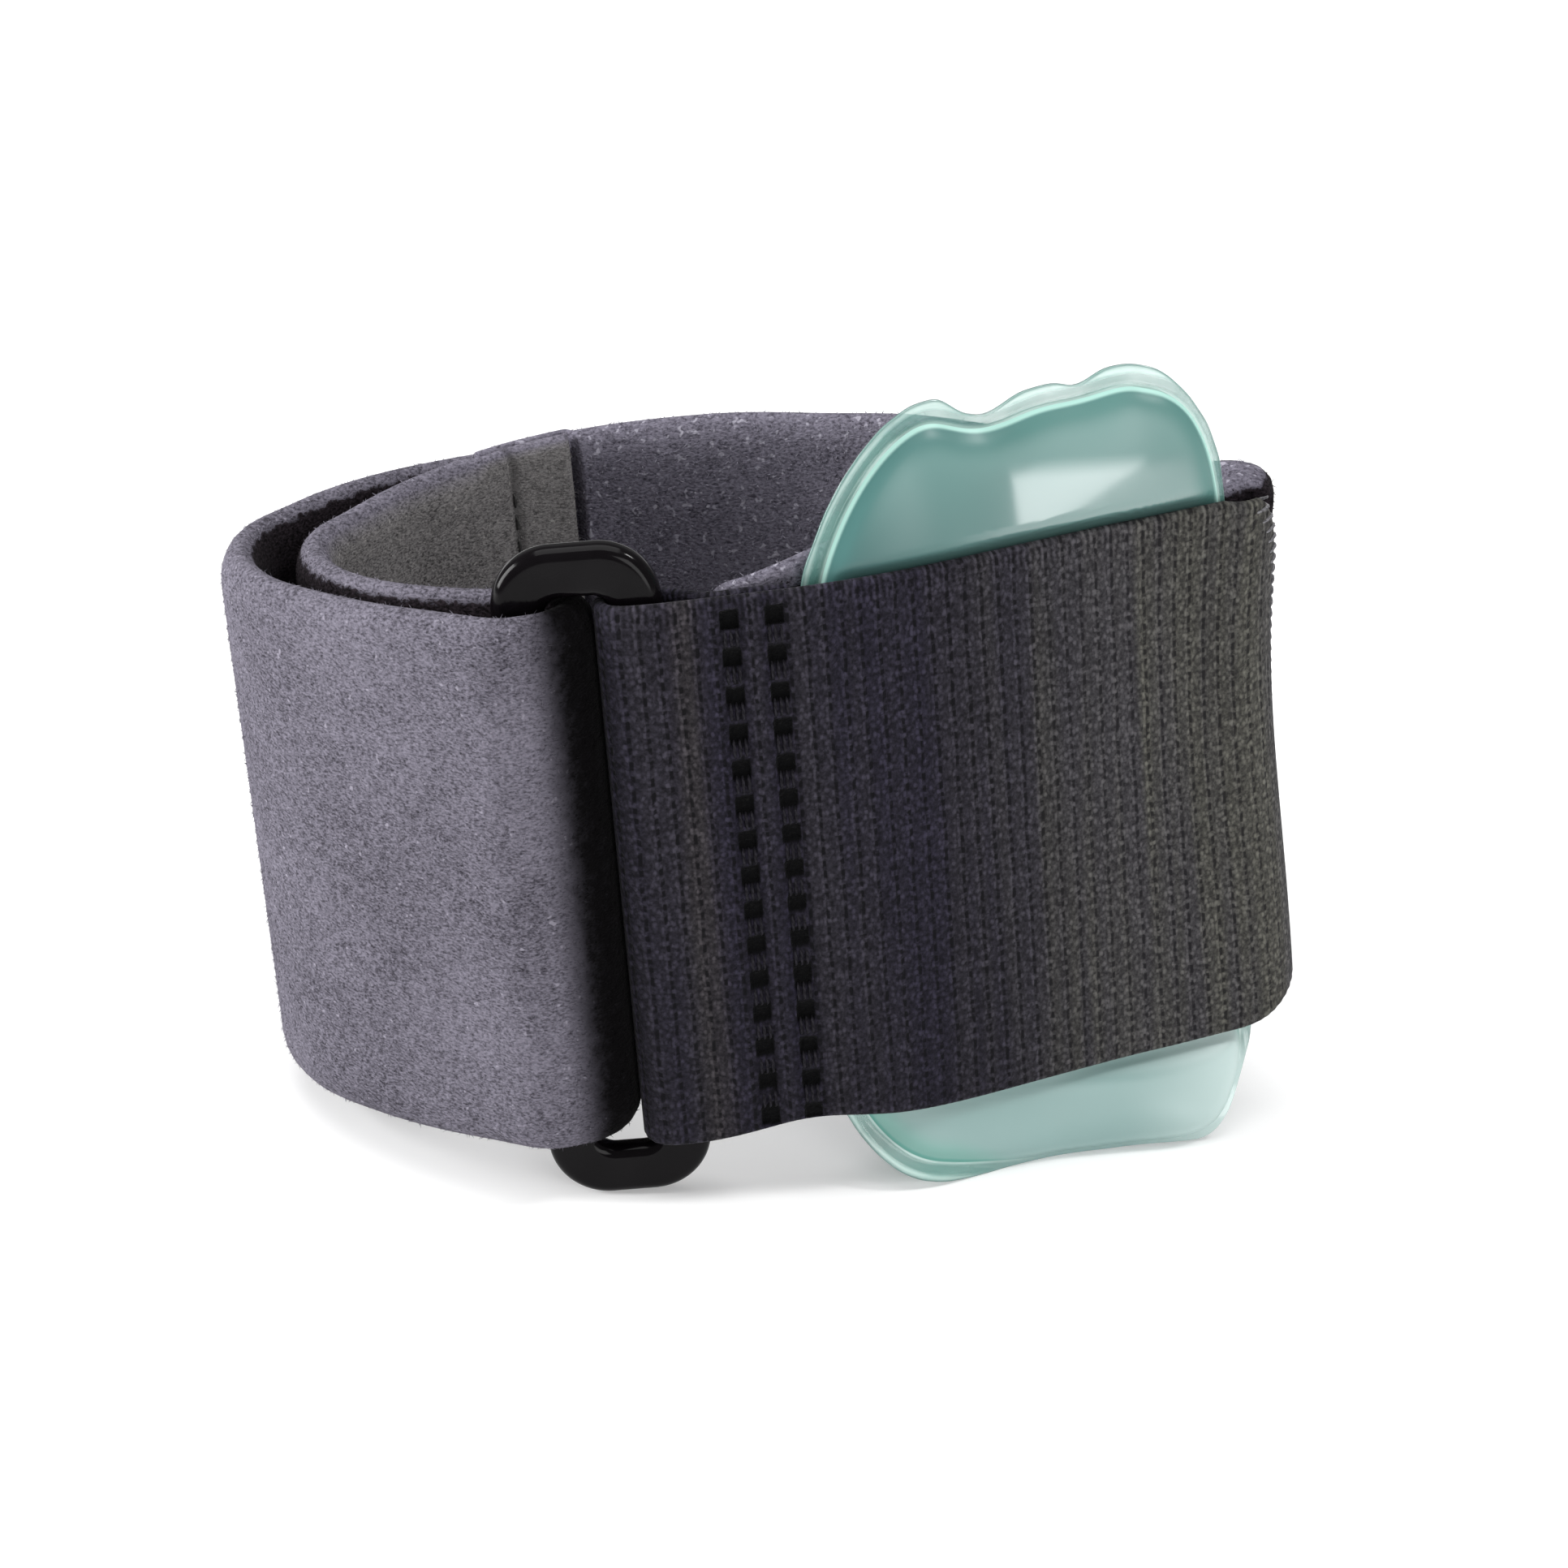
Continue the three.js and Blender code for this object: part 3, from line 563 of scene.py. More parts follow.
def sewn_thread(name, paths, radius, sides=6):
    """Threads as round tubes: a ring of points square to each step of each path, a face at both ends."""
    count, steps = paths.shape[:2]
    along = np.gradient(paths, axis=1)
    along /= np.linalg.norm(along, axis=2)[..., None]
    beside = np.cross(along, [0.31, 0.52, 0.79])
    beside /= np.linalg.norm(beside, axis=2)[..., None]
    above = np.cross(along, beside)
    angle = np.linspace(0, 2 * np.pi, sides, endpoint=False)[:, None]
    ring = np.cos(angle) * beside[:, :, None, :] + np.sin(angle) * above[:, :, None, :]
    taper = radius * np.sin(np.linspace(0.12, np.pi - 0.12, steps)) ** 0.3
    points = paths[:, :, None, :] + ring * taper[None, :, None, None]
    base = np.arange(count)[:, None] * steps * sides
    quads = (base[..., None] + tube_quads(steps, sides)[:, [0, 3, 2, 1]]).reshape(-1, 4)
    start = base + np.arange(sides)[::-1]
    stop = base + (steps - 1) * sides + np.arange(sides)
    twist = np.arange(steps)[None, :, None] / steps + np.arange(sides) / sides
    faces = quads.tolist() + start.tolist() + stop.tolist()
    return new_piece(name, stand(points), faces, twist=np.broadcast_to(twist, points.shape[:3]))


def spun_thread(name, dark, light):
    """Twisted sewing thread: its plies are stripes of the point value 'twist', broken by fine noise."""
    material, dye, shader = new_finish(name, roughness=0.8, specular_ior_level=0.1)
    lint = dye.noise(dye.place(), 2500.0, 2.0, 0.6)
    ply = (dye.value("twist") * (4 * np.pi)).sine() * 0.12 + lint
    wet(dye, shader, base_color=ply.step(0.2, 0.9).tint(dark, light))
    return material


rows = np.arange(LAP_SEAM["low"], LAP_SEAM["high"], LAP_SEAM["pitch"])[:, None]
t = np.linspace(0, 1, 9)[None, :]
point, normal = padded_line.at(seam_at)
lying = -PAD / 2 - LAP["proud"] + LAP_SEAM["sunk"] + 0.35 - 0.5 * np.sin(np.pi * t)
flat = point + normal * np.broadcast_to(lying, (len(rows), 9))[..., None]
lap_thread = sewn_thread("lap_seam_thread", np.dstack([flat, rows + LAP_SEAM["stitch"] * t]), 0.24)
lap_thread.data.materials.append(spun_thread("grey_sewing_thread", srgb(38, 37, 38), srgb(84, 83, 82)))
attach(lap_thread, "root")

# Hook patch: a strip of black hook tape under the flap's end, which holds the flap on the loop below.
# It is woven nylon with rows of small bent hooks, and shows only at the flap's edge.
HOOK = {"thick": 1.2, "from": (-14.0, 38.5), "to": (-40.0, 22.0), "low": 14.0, "high": 58.0}
HOOK_PITCH = (0.0016, 0.0012)    # metres from hook to hook, along and up the tape
patch_part = LOOP[(LOOP[:, 0] < 0) & (LOOP[:, 0] > -50)]
patch_away = np.full(len(patch_part), PAD / 2 + CLEAR + HOOK["thick"] / 2)
patch_line = PlanLine(offset_rows(inner_line, patch_part, patch_away))
s = np.arange(patch_line.near(*HOOK["from"]), patch_line.near(*HOOK["to"]), 0.5)
points, across = strip(
    patch_line, s, -HOOK["thick"] / 2, HOOK["thick"] / 2, HOOK["low"], HOOK["high"], 0.4, 44, 4,
)
patch = closed_strip("hook_tape", s, points, crown=2)
material, dye, shader = new_finish("black_hook_tape", roughness=0.6)
where = dye.node("ShaderNodeUVMap", {"uv_map": "cut"})
along = (where.part(0) * (2 * np.pi / HOOK_PITCH[0])).sine()
up = (where.part(1) * (2 * np.pi / HOOK_PITCH[1])).sine()
hooks = (along * up).step(0.1, 0.8)
wet(dye, shader, base_color=hooks.tint(srgb(12, 12, 13), srgb(44, 43, 46)))
wet(dye, shader, normal=dye.bump(hooks, 0.8, 0.0004))
patch.data.materials.append(material)
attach(patch, "root")
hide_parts("hook_tab")

# Ring: one moulding of glossy black nylon, a flat racetrack with a slot, its edges fully rounded.
# The strap turns round its left bar and the panel is sewn round its right one.
RING_CORNER = {"outer": 7.9, "slot": 2.4}
RING_ROUND = 1.7


def rounded_rectangle(width, length, radius, sides, quarter):
    """Points round a rectangle with round corners: straight runs along its sides, quarter turns between."""
    half = np.array([width / 2 - radius, length / 2 - radius])
    turn = np.linspace(0, np.pi / 2, quarter + 1)
    share = np.linspace(0, 1, sides + 1)[1:-1, None]
    rows = []
    for number, (x, y) in enumerate([(1, 1), (-1, 1), (-1, -1), (1, -1)]):
        angle = turn + number * np.pi / 2
        bow = np.column_stack([np.cos(angle), np.sin(angle)]) * radius + half * (x, y)
        rows += [bow, bow[-1] + half * [(-2, 0), (0, -2), (2, 0), (0, 2)][number] * share]
    return np.vstack(rows)


outer_edge = rounded_rectangle(RING["width"], RING["length"], RING_CORNER["outer"], 24, 28)
slot_edge = rounded_rectangle(
    RING["width"] - 2 * RING["bar"], RING["length"] - 2 * RING["end"], RING_CORNER["slot"], 24, 28,
)
turn = np.linspace(0, np.pi / 2, 9)
half = RING["thick"] / 2 - RING_ROUND
wide = np.linalg.norm(outer_edge - slot_edge, axis=1)[:, None]
round_in = RING_ROUND * (1 - np.cos(turn))
bow_out = half + RING_ROUND * np.sin(turn)
flat = np.linspace(0, 1, 6)[1:-1]
share = np.hstack([
    1 - round_in / wide,
    1 - (RING_ROUND + (wide - 2 * RING_ROUND) * flat) / wide,
    round_in[::-1] / wide,
    round_in / wide,
    (RING_ROUND + (wide - 2 * RING_ROUND) * flat) / wide,
    1 - round_in[::-1] / wide,
])
level = np.full(4, RING["thick"] / 2)
depth = np.concatenate([bow_out, level, bow_out[::-1], -bow_out, -level, -bow_out[::-1]])
spread = slot_edge[:, None, :] + (outer_edge - slot_edge)[:, None, :] * share[..., None]
through = np.broadcast_to(RING["y"] + depth, share.shape)
points = np.dstack([RING["x"] + spread[..., 0], through, WIDTH / 2 + spread[..., 1]])
count, loop = points.shape[:2]
quads = tube_quads(count + 1, loop)[:, [0, 3, 2, 1]] % (count * loop)
ring = new_piece("ring_moulding", stand(points), quads.tolist())
material, dye, shader = new_finish("glossy_black_nylon", specular_ior_level=0.11)
where = dye.place()
scuff = dye.noise(where, 900.0, 3.0, 0.6)
smear = dye.noise(where, 120.0, 2.0, 0.5)
wet(dye, shader, base_color=smear.step(0.3, 0.7).tint(srgb(6, 4, 6), srgb(13, 11, 13)))
wet(dye, shader, roughness=scuff.step(0.35, 0.8) * 0.1 + 0.1, normal=dye.bump(scuff, 0.04, 0.0001))
ring.data.materials.append(material)
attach(ring, "root")
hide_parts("ring")

# Elastic panel: a doubled band of black knitted elastic, ribbed up and down, stretched over the air cell.
# It is folded round the ring's right bar, sewn to its own tail and the body by an open ladder seam that
# leaves two columns of square holes, and overcast on to the body's fold at the right.
SEAM = {"x": -1.9, "apart": 5.6, "pitch": 5.0, "rows": 15, "depth": 0.85}
GATHER = {"rise": 1.7, "x": 1.0, "reach": 9.0}
PANEL_TIP = {"lift": 3.8, "drop": 0.8}      # of its lower and upper corners at the right
RIB = {"pitch": 1.2, "relief": 0.05}
WALE = 2.3             # from one vertical line of the knit to the next
COURSE = 1.8           # from one broken dash of those lines to the next
KNOT = (0.62, 0.8)     # a loop's size along and up the panel
TICK = 0.85            # from stitch to stitch along the upper selvedge
eye_x = RING["x"] + RING["width"] / 2 - RING["bar"] + RING["thick"] / 2
eye = RING["thick"] / 2 + 0.4 + ELASTIC / 2
layer = ELASTIC + CLEAR
panel_line = PlanLine(np.vstack([
    [(2.8, -33.9 + layer), (-2.0, -34.45 + layer), (-7.2, -34.95 + layer)],
    [(eye_x + 3.5, RING["y"] + eye - 0.35), (eye_x + 1.7, RING["y"] + eye + 0.1)],
    arc(eye_x, RING["y"], eye, 90, 270, 8),
    [(eye_x + 3.6, RING["y"] - eye + 0.03)],
    front_rows,
]), 0.4)
panel_end = panel_line.length
tail_end = panel_line.near(eye_x - eye, RING["y"])
s = np.unique(np.concatenate([
    np.arange(0, tail_end - 4, 1.0), np.arange(tail_end - 4, panel_end, 0.3), [panel_end],
]))
plan, _ = panel_line.at(s)
gathered = GATHER["rise"] * np.exp(-((plan[:, 0] - GATHER["x"]) / GATHER["reach"]) ** 2)
tip_lift = PANEL_TIP["lift"] * ease(s, panel_end - 17, panel_end - 2) ** 1.5
tip_drop = PANEL_TIP["drop"] * ease(s, panel_end - 10, panel_end)
rungs = np.array([-1.45, -1.2, 0.0, 1.2, 1.45, 2.5])    # rows of points, from the middle of each hole
centres = (np.arange(SEAM["rows"]) - (SEAM["rows"] - 1) / 2) * SEAM["pitch"] + WIDTH / 2
levels = np.sort((centres[:, None] + rungs).ravel())
levels = (levels[(levels > 1.5) & (levels < WIDTH - 1.5)] - WIDTH / 2) / (WIDTH - ELASTIC)


def knitted(low, high, levels):
    """Sections of the doubled knit: half round selvedges, and rows on its faces at shares of the height.

    Gives how far across the thickness each point lies, from -1 to 1, and its height.
    """
    turn = np.linspace(0, np.pi, 9)[None, :]
    low, high = low[:, None], high[:, None]
    face = np.ones_like(low) * np.ones_like(levels)
    over = np.ones_like(low) * np.cos(turn)
    half = ELASTIC / 2
    middle, tall = (low + high) / 2, high - low - ELASTIC
    across = np.hstack([over, -face, -over, face])
    round_over = half * np.sin(turn) - half
    height = np.hstack([
        high + round_over, middle - tall * levels, low - round_over, middle + tall * levels,
    ])
    return across, height


across, height = knitted(gathered + tip_lift, WIDTH - tip_drop, levels)
cut_back = (np.radians(TIP["end"]) - tip_stop(height)) * TIP["mean"]
run = s[:, None] - cut_back * ease(s, panel_end - 20, panel_end)[:, None]
point, normal = panel_line.at(run)
seen = ease(s, tail_end - 3, tail_end)[:, None] * ease(across, 0.1, 0.9)
rib = np.cos(2 * np.pi * s / RIB["pitch"])[:, None] * RIB["relief"]
pit = np.zeros_like(height)
columns = [panel_line.near(SEAM["x"] + side * SEAM["apart"], -34.45) for side in (-0.5, 0.5)]
for column in columns:
    beside = 1 - ease(np.abs(s - column), 1.05, 1.35)[:, None]
    row = np.abs((height - centres[0] + SEAM["pitch"] / 2) % SEAM["pitch"] - SEAM["pitch"] / 2)
    pit = np.maximum(pit, beside * (1 - ease(row, 1.15, 1.44)) * ease(height, 1.2, 1.6))
pit *= seen > 0.5
offset = ELASTIC / 2 * across + seen * (rib * (1 - pit) - SEAM["depth"] * pit)
points = draw_in(np.dstack([point + normal * offset[..., None], height]))
panel = closed_strip("elastic_panel_knit", s, points, crown=4, pit=pit, height=height, run=run)
material, dye, shader = new_finish(
    "black_knitted_elastic", roughness=0.85, specular_ior_level=0.1, sheen_weight=0.04,
)
place = dye.place()
length = dye.value("run")
tall = dye.value("height")
stray = dye.noise(place, 170.0, 2.0, 0.5) - 0.5
wale = length * (1 / WALE) + stray * 0.22
beat = (tall * (2 * np.pi / COURSE) + stray * 16.0).sine()
dark_line = (wale * (2 * np.pi)).sine().step(0.72, 0.98) * beat.step(-0.5, 0.4)
light_line = (wale * (2 * np.pi) + 1.3).sine().step(0.78, 0.99) * (0.0 - beat).step(-0.2, 0.8)
grid = dye.node("ShaderNodeCombineXYZ", None, {0: length * (1 / KNOT[0]), 1: tall * (1 / KNOT[1])})
grains = {"Vector": grid, "Scale": 1.0, "Randomness": 0.9}
knot = 1.0 - dye.node("ShaderNodeTexVoronoi", None, grains).step(0.1, 0.75)
chance = dye.node("ShaderNodeTexVoronoi", None, grains, 1) * 1.0    # a loop's own random colour, as a grey
fuzz = dye.noise(place, 1900.0, 2.0, 0.6)
ticks = (length * (2 * np.pi / TICK)).sine() * tall.step(WIDTH - 3.2, WIDTH - 2.2)
loops = knot * (0.12 + chance.step(0.2, 0.95) * 0.36) + (fuzz - 0.5) * 0.8 + 0.3
loops = (loops + light_line * 0.26 - dark_line * 0.34 + ticks * 0.12).step(0.0, 1.0)
# Lighter towards the right: partly the knit stretched more open there, partly painted light as if falling
# from the right.
drawn = length.step(columns[0] + 26.0, columns[0] + 54.0)
knit = loops.tint(
    drawn.tint(srgb(9, 8, 13), srgb(30, 29, 30)), drawn.tint(srgb(61, 58, 70), srgb(98, 97, 94)),
)
sides = dye.node("ShaderNodeCombineXYZ", None, {0: length * 0.16, 1: tall * 0.006})
streak = dye.noise(sides, 1.0, 2.0, 0.6).step(0.36, 0.64)
knit = streak.tint((0.82, 0.8, 0.92, 1.0), (1.12, 1.12, 1.03, 1.0)).times(knit)
stripe_start = length.step(columns[0] - 9.5, columns[0] - 6.5)
pale_stripe = stripe_start * (1 - length.step(columns[0] - 5.6, columns[0] - 2.8))
knit = pale_stripe.tint(knit, (1.45, 1.44, 1.12, 1.0), "MULTIPLY")
# Painted shade: the knit darker along both sunken columns of the ladder seam.
ladder_shade = [1 - ((length - column) * (length - column)).step(1.5, 6.0) for column in columns]
knit = (ladder_shade[0] + ladder_shade[1]).tint(knit, (0.66, 0.64, 0.72, 1.0), "MULTIPLY")
# Painted shade: the knit darker towards the bottom of its left part.
low_left_shade = (1 - tall.step(-5.0, 45.0)) * (1 - drawn) * 0.2
knit = low_left_shade.tint(knit, srgb(12, 11, 16))
# Painted shade: the seam's sunken holes are coloured near black.
hole = dye.value("pit").step(0.2, 0.7)
wet(dye, shader, base_color=hole.tint(knit, srgb(3, 3, 4)))
wet(dye, shader, normal=dye.bump(loops, 0.6, 0.0004))
panel.data.materials.append(material)
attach(panel, "root")
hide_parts("elastic_panel")
LADDER = {"thread": 0.2, "long": 2.5, "apart": 0.75, "bow": 0.2, "sunk": 0.5}
t = np.linspace(0, 1, 9)[None, :]
gaps = (centres[:-1] + centres[1:]) / 2
stitches = []
for column in columns:
    for side in (-1, 0, 1):
        point, normal = panel_line.at(column + side * LADDER["apart"])
        bowed = (LADDER["bow"] + LADDER["sunk"]) * np.sin(np.pi * t) ** 0.6
        bowed = bowed + ELASTIC / 2 - LADDER["sunk"]
        flat = point + normal * np.broadcast_to(bowed, (len(gaps), 9))[..., None]
        stitches.append(np.dstack([flat, gaps[:, None] + LADDER["long"] * (t - 0.5)]))
ladder = sewn_thread("ladder_seam_thread", draw_in(np.concatenate(stitches)), LADDER["thread"])
ladder.data.materials.append(spun_thread("charcoal_sewing_thread", srgb(16, 15, 19), srgb(42, 40, 46)))
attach(ladder, "root")
OVERCAST = {
    "pitch": 1.7, "low": 5.5, "high": 74.0, "thread": 0.27, "before": 2.4, "past": 2.3, "rake": 0.8,
}
rows = np.arange(OVERCAST["low"], OVERCAST["high"], OVERCAST["pitch"])[:, None]
t = np.linspace(0, 1, 15)[None, :]
height = rows + OVERCAST["rake"] * t
stop = tip_stop(height)
turned = stop + ((OVERCAST["before"] + OVERCAST["past"]) * t - OVERCAST["before"]) / TIP["mean"]
share = (np.degrees(turned) - TIP_START) / (TIP["end"] - TIP_START)
over_panel = TIP["from"] + (TIP["to"] - TIP["from"]) * share + ELASTIC / 2
over_body = FOLD["radius"] + PAD / 2 + tip_bulge(turned, height)
past = ease(turned - stop, -0.03, 0.14)
radius = over_panel * (1 - past) + over_body * past - 0.3 + 0.42 * np.sin(np.pi * t) ** 0.4
flat = np.stack([FOLD["x"] + radius * np.cos(turned), FOLD["y"] + radius * np.sin(turned)], -1)
overcast = sewn_thread("overcast_thread", draw_in(np.dstack([flat, height])), OVERCAST["thread"])
light_thread = spun_thread("light_grey_sewing_thread", srgb(66, 65, 68), srgb(140, 139, 142))
overcast.data.materials.append(light_thread)
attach(overcast, "root")

# Air cell: two films of clear green vinyl welded face to face round their edge and filled with air.
# It fills the pocket between panel and body and swells out above and below it; outside the weld the films
# are one flat clear flange, cut by hand to a wavy edge.
CELL = {"shoulder": 0.9, "slope": 0.5, "half": 8.0, "flare": 5.2, "free": 2.6, "thin": 0.25, "bead": 0.26}
FLANGE = {"wide": 2.3, "turned_under": 1.8, "trimmed": 1.3}    # width, and what two stretches of it lose
CELL_MIDDLE = 42.0     # height of the films' poles
# The cut edge: its lower and upper height, station by station along the panel.
CELL_EDGE = np.array([
    # x, low, high
    (4.2, 6.0, 72.0), (5.4, 0.5, 77.2), (7.0, -2.8, 80.4), (8.8, -5.4, 84.0), (11.2, -8.0, 87.6),
    (14.0, -9.9, 90.6), (17.5, -11.2, 93.4), (21.5, -11.8, 95.2), (25.5, -12.0, 95.4), (28.8, -12.2, 92.5),
    (31.8, -12.4, 91.6), (36.0, -12.6, 94.0), (40.2, -12.9, 94.6), (42.6, -13.0, 93.5), (46.0, -13.2, 95.6),
    (49.0, -13.5, 95.8), (52.2, -13.8, 94.8), (54.0, -13.0, 93.3), (56.4, -10.0, 90.3), (58.6, -7.0, 86.4),
    (60.2, -5.0, 81.4), (61.0, -3.9, 74.0), (62.4, -2.0, 62.0), (63.4, 2.0, 50.0),
])
rim_run = np.array([front_line.near(x, np.interp(x, FRONT[:, 0], FRONT[:, 1])) for x in CELL_EDGE[:, 0]])
corners = np.vstack([
    np.column_stack([rim_run, CELL_EDGE[:, 2]]), np.column_stack([rim_run, CELL_EDGE[:, 1]])[::-1],
])


def even_loop(corners, count, width):
    """Closed line of evenly spaced points through corners, smoothed by a bell curve of a given width."""
    loop = np.vstack([corners, corners[:1]])
    run = np.concatenate([[0], np.cumsum(np.linalg.norm(np.diff(loop, axis=0), axis=1))])
    at = np.linspace(0, run[-1], count, endpoint=False)
    line = np.column_stack([np.interp(at, run, loop[:, k]) for k in (0, 1)])
    wave = np.fft.fftfreq(count, run[-1] / count)
    bell = np.exp(-2 * (np.pi * wave * width) ** 2)[:, None]
    return np.fft.ifft(np.fft.fft(line, axis=0) * bell, axis=0).real


AROUND = 420
cut_edge = even_loop(corners, AROUND, 0.9)
calm = even_loop(corners, AROUND, 3.2)
ahead = np.roll(calm, -1, axis=0) - np.roll(calm, 1, axis=0)
inward = np.column_stack([ahead[:, 1], -ahead[:, 0]]) / np.linalg.norm(ahead, axis=1)[:, None]
turned_under = ease(calm[:, 0], 24.0, 40.0) * ease(-calm[:, 1], -2.0, 6.0)
trimmed = ease(calm[:, 0], 60.0, 67.0) * ease(calm[:, 1], 30.0, 50.0)
wide = FLANGE["wide"] - FLANGE["turned_under"] * turned_under - FLANGE["trimmed"] * trimmed
weld = calm + inward * wide[:, None]
middle = np.array([(weld[:, 0].min() + weld[:, 0].max()) / 2, CELL_MIDDLE])
reach = 1 - (1 - np.linspace(0, 1, 61)[1:]) ** 1.5
film = middle + (weld - middle)[None, :, :] * reach[:, None, None]
flange_share = np.array([0.05, 0.11, 0.2, 0.32, 0.45, 0.55, 0.65, 0.75, 0.88, 1.0])
flange = weld + (cut_edge - weld)[None, :, :] * flange_share[:, None, None]
sheet = np.vstack([film, flange])
flat = sheet.reshape(-1, 2)
away = np.linalg.norm(flat[:, None, :] - weld[None, :, :], axis=2)
gap = away.min(axis=1).reshape(sheet.shape[:2])
gap[len(film) - 1:] = 0
# Depth inside the weld without a crease along the middle: the root of two over a sum of inverse cubes.
spacing = np.linalg.norm(np.roll(weld, -1, axis=0) - weld, axis=1)
pillow = (np.sum(spacing / np.maximum(away, 1e-3) ** 3, axis=1) / 2).reshape(gap.shape) ** -0.5
pillow = np.where(gap > 0, pillow, 0)
beyond = np.vstack([-gap[:len(film)], np.linalg.norm(cut_edge - weld, axis=1) * flange_share[:, None]])
front_point, front_normal = front_line.at(sheet[..., 0])
to_padding = front_point.reshape(-1, 1, 2) - padded_line.points[None, ::6, :]
padding = np.min(np.linalg.norm(to_padding, axis=2), axis=1)
room = padding.reshape(gap.shape) - ELASTIC / 2 - PAD / 2
tall = sheet[..., 1]
loose = CELL["free"] * np.maximum(ease(tall, WIDTH + 0.2, WIDTH + 2.2), ease(-tall, 0.3, 3.5))
rounded = 1 - (1 - np.clip(gap / 2.4, 0, 1)) ** 2
swollen = CELL["thin"] + CELL["shoulder"] * rounded + CELL["slope"] * pillow
swollen = (swollen**-6 + CELL["half"] ** -6) ** (-1 / 6)
limit = np.maximum(room / 2 - CLEAR - 0.05 + loose, CELL["thin"])
half = (swollen**-6 + limit**-6) ** (-1 / 6)
bead = np.exp(-(beyond / 0.45) ** 2) + 0.7 * np.exp(-((beyond - 1.5) / 0.35) ** 2)
half += CELL["bead"] * bead * (1 - turned_under)
flare = CELL["flare"] * ease(-tall, 0.5, 12)
under_film = turned_under * ease(reach, 0.7, 0.97)[:, None]
under = np.vstack([under_film, np.repeat(turned_under[None, :], len(flange_share), axis=0)])
films = []
for sign in (1, -1):
    offset = flare - ELASTIC / 2 - room / 2 + sign * half
    films.append(draw_in(np.dstack([front_point + front_normal * offset[..., None], tall])))
poles = [side[0].mean(axis=0) for side in films]
rings = len(sheet)
points = np.vstack([films[0].reshape(-1, 3), films[1].reshape(-1, 3), poles])
back = rings * AROUND
ahead_quads = tube_quads(rings, AROUND)
rear_quads = ahead_quads[:, ::-1] + back
edge = (rings - 1) * AROUND + np.arange(AROUND)
edge_next = np.roll(edge, -1)
rim_quads = np.stack([edge, edge + back, edge_next + back, edge_next], -1)
first = np.arange(AROUND)
pole_front = np.stack([np.full(AROUND, 2 * back), first, np.roll(first, -1)], -1)
pole_back = np.stack([np.full(AROUND, 2 * back + 1), np.roll(first, -1) + back, first + back], -1)
faces = [rows[:, ::-1].tolist() for rows in (ahead_quads, rear_quads, rim_quads, pole_front, pole_back)]
outward = np.repeat(np.concatenate([np.zeros(len(film)), flange_share]), AROUND)


def both_films(value, pole):
    """A value by point for the front film, the back film and their two poles."""
    return np.concatenate([value.ravel(), value.ravel(), [pole, pole]])


cell = new_piece(
    "air_cell_films", stand(points), sum(faces, []), gap=both_films(gap, 12.0),
    high=both_films(tall, CELL_MIDDLE), beyond=both_films(beyond, -12.0), rim=both_films(outward, 0.0),
    under=both_films(under, 0.0),
)
film_rings = (len(film) - 1) * AROUND
clear = np.zeros(len(cell.data.polygons), np.int32)
clear[film_rings:len(ahead_quads)] = 1
clear[len(ahead_quads) + film_rings:2 * len(ahead_quads) + AROUND] = 1


def lit_lower_film(where):
    """Painted light on the film below the panel: pale, as if lit through from behind, and paler still
    towards the right end.
    """
    return where.part(0).step(0.046, 0.068).tint(srgb(137, 165, 162), srgb(192, 210, 207))


material, dye, shader = new_finish(
    "green_vinyl_film", roughness=0.35, specular_ior_level=0.3, coat_roughness=0.16, coat_ior=1.88,
)
depth = dye.value("gap")
above = dye.value("high").step(10.0, 70.0)
where = dye.place()
cloud = dye.noise(where, 45.0, 2.0, 0.5)
sideways = where.part(0)
# Painted shade and light: the film darker just above the panel's edge and at the left, lighter up towards
# its top and right.
aside = sideways.step(0.004, 0.04)
rising = dye.value("high").step(76.0, 92.0)
low_film = aside.tint(srgb(74, 108, 106), srgb(98, 132, 128))
film_tone = rising.tint(low_film, aside.tint(srgb(102, 140, 136), srgb(118, 150, 146)))
pale = (1 - above).tint(film_tone, lit_lower_film(where))
under = dye.value("under")
# Painted shade: a darker band inside the weld, fading over 5 mm into the film's tone, broken by cloudy
# patches.
shade = above.tint(srgb(122, 166, 157), aside.tint(srgb(74, 117, 114), srgb(84, 126, 121)))
shaded_milky_film = (depth.step(0.0, 5.0) + (cloud - 0.5) * 0.5 + under).step(0.0, 1.0).tint(shade, pale)
gloss = sideways.step(0.02, 0.031) * depth.step(1.5, 5.0) * (1 - where.part(2).step(0.0955, 0.0985))
# The weld line lighter above the panel: partly the welded seam's own colour, partly a painted highlight
# along the rim.
weld_line = above.tint(srgb(96, 154, 143), srgb(170, 212, 202))
welded = (depth.step(0.2, 0.8) + under).step(0.0, 1.0).tint(weld_line, shaded_milky_film)
wet(dye, shader, base_color=welded, coat_weight=dye.value("high").step(60.0, 78.0) * gloss)
wet(dye, shader, normal=dye.bump(cloud, 0.06, 0.002))
cell.data.materials.append(material)
material, dye, shader = new_finish(
    "clear_vinyl_flange", roughness=0.15, coat_weight=0.5, coat_roughness=0.08,
)
where = dye.place()
ripple = dye.noise(where, 220.0, 2.0, 0.5)
out = dye.value("beyond")
bright = out.step(1.5, 2.1) + (1 - out.step(0.1, 0.5))
cut_line = dye.value("rim").step(0.82, 0.98)
tinted = bright.tint(srgb(112, 166, 156), srgb(190, 224, 216))
under = dye.value("under")
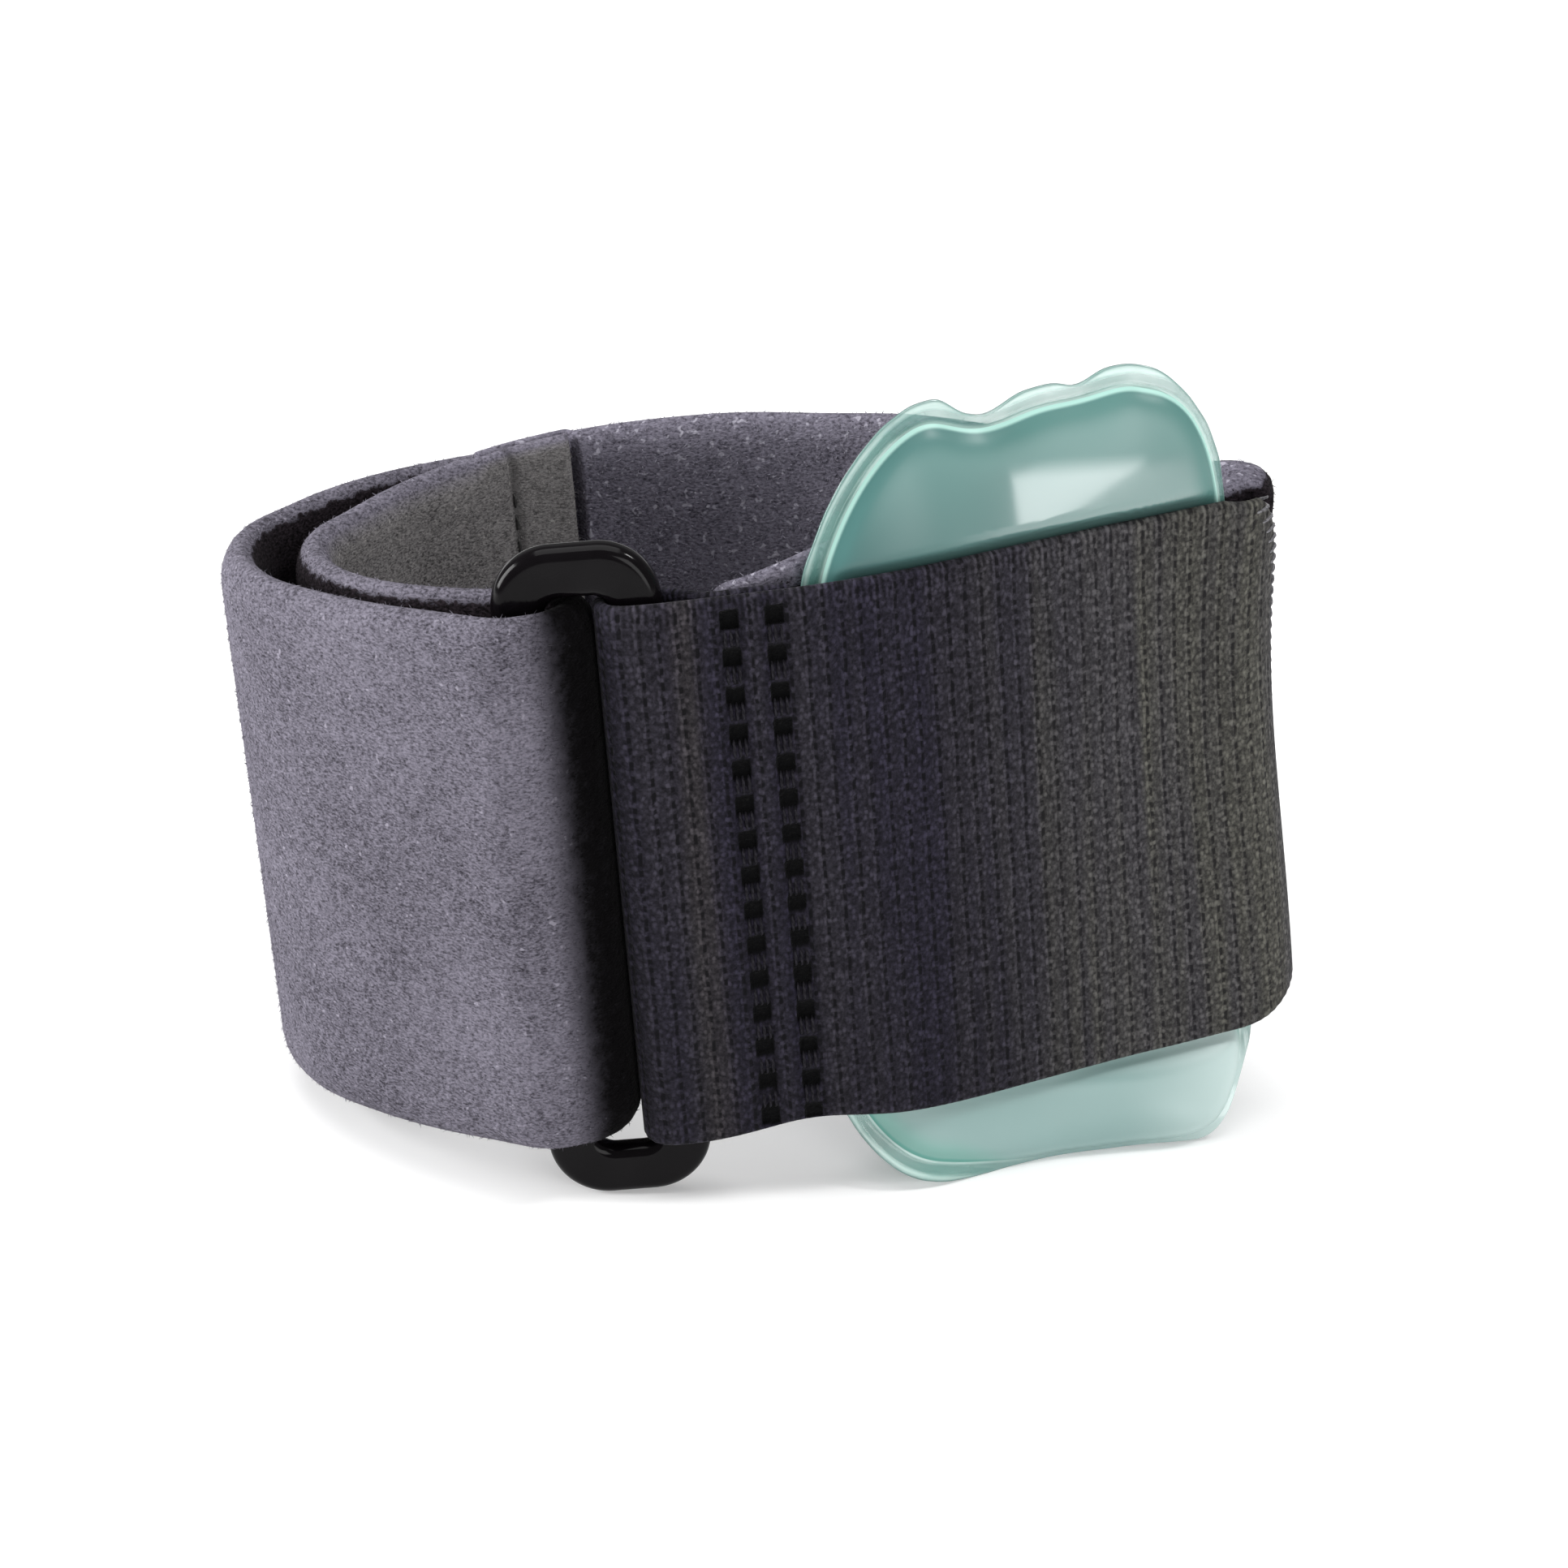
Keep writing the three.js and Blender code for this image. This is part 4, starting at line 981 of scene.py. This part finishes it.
# Where the flange is turned under, it takes the lower film's painted light.
wet(dye, shader, base_color=under.tint(cut_line.tint(tinted, srgb(116, 150, 144)), lit_lower_film(where)))
clouded = bright * 0.1 + ripple.step(0.3, 0.7) * 0.12 + cut_line * 0.2 + 0.42
wet(dye, shader, alpha=clouded + under * (1 - clouded))
wet(dye, shader, normal=dye.bump(ripple, 0.2, 0.001))
cell.data.materials.append(material)
cell.data.polygons.foreach_set("material_index", clear)
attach(cell, "root")
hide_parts("air_cell")

# Studio: a white table lit a little from below, under a wide overhead box, with soft boxes at the left,
# high at the right, and at the front right, which lights the panel a little and shows on the air cell.
floor = new_piece(
    "floor", np.array([(-4, -4, 0), (4, -4, 0), (4, 4, 0), (-4, 4, 0)], float), [(0, 1, 2, 3)],
)
material, dye, shader = new_finish(
    "lit_white_table", roughness=0.9, base_color=(0.78, 0.78, 0.78, 1.0),
    emission_color=(1.0, 1.0, 1.0, 1.0), emission_strength=0.25,
)
floor.data.materials.append(material)


def soft_box(name, place, aim, wide, tall, watts, turn=0.0):
    """Rectangular area light at a place, facing a point and turned about its own axis, in degrees."""
    light = bpy.data.lights.new(name, "AREA")
    light.shape = "RECTANGLE"
    light.size = wide
    light.size_y = tall
    light.energy = watts
    lamp = bpy.data.objects.new(name, light)
    lamp.location = place
    back = np.array(place) - np.array(aim)
    lamp.rotation_mode = "QUATERNION"
    facing = Matrix.Translation(back).to_translation().to_track_quat("Z", "Y")
    lamp.rotation_quaternion = facing @ Quaternion((0.0, 0.0, 1.0), np.radians(turn))
    scene.collection.objects.link(lamp)


soft_box("left_box", (-1.0, -0.06, 0.42), (-0.03, 0, 0.05), 0.5, 0.6, 15.0)
soft_box("right_box", (0.7, -0.05, 0.95), (0, 0, 0.05), 0.16, 0.2, 4.0)
soft_box("front_box", (0.51, -0.975, 0.378), (0.03, -0.03, 0.09), 0.44, 0.8, 4.9, 8.0)
soft_box("top_box", (0.0, 0.2, 1.9), (0, 0.1, 0.0), 1.8, 1.8, 26.0)
world = bpy.data.worlds.new("studio")
world.use_nodes = True
world.node_tree.nodes["Background"].inputs["Color"].default_value = (1.0, 1.0, 1.0, 1.0)
world.node_tree.nodes["Background"].inputs["Strength"].default_value = 0.25
scene.world = world
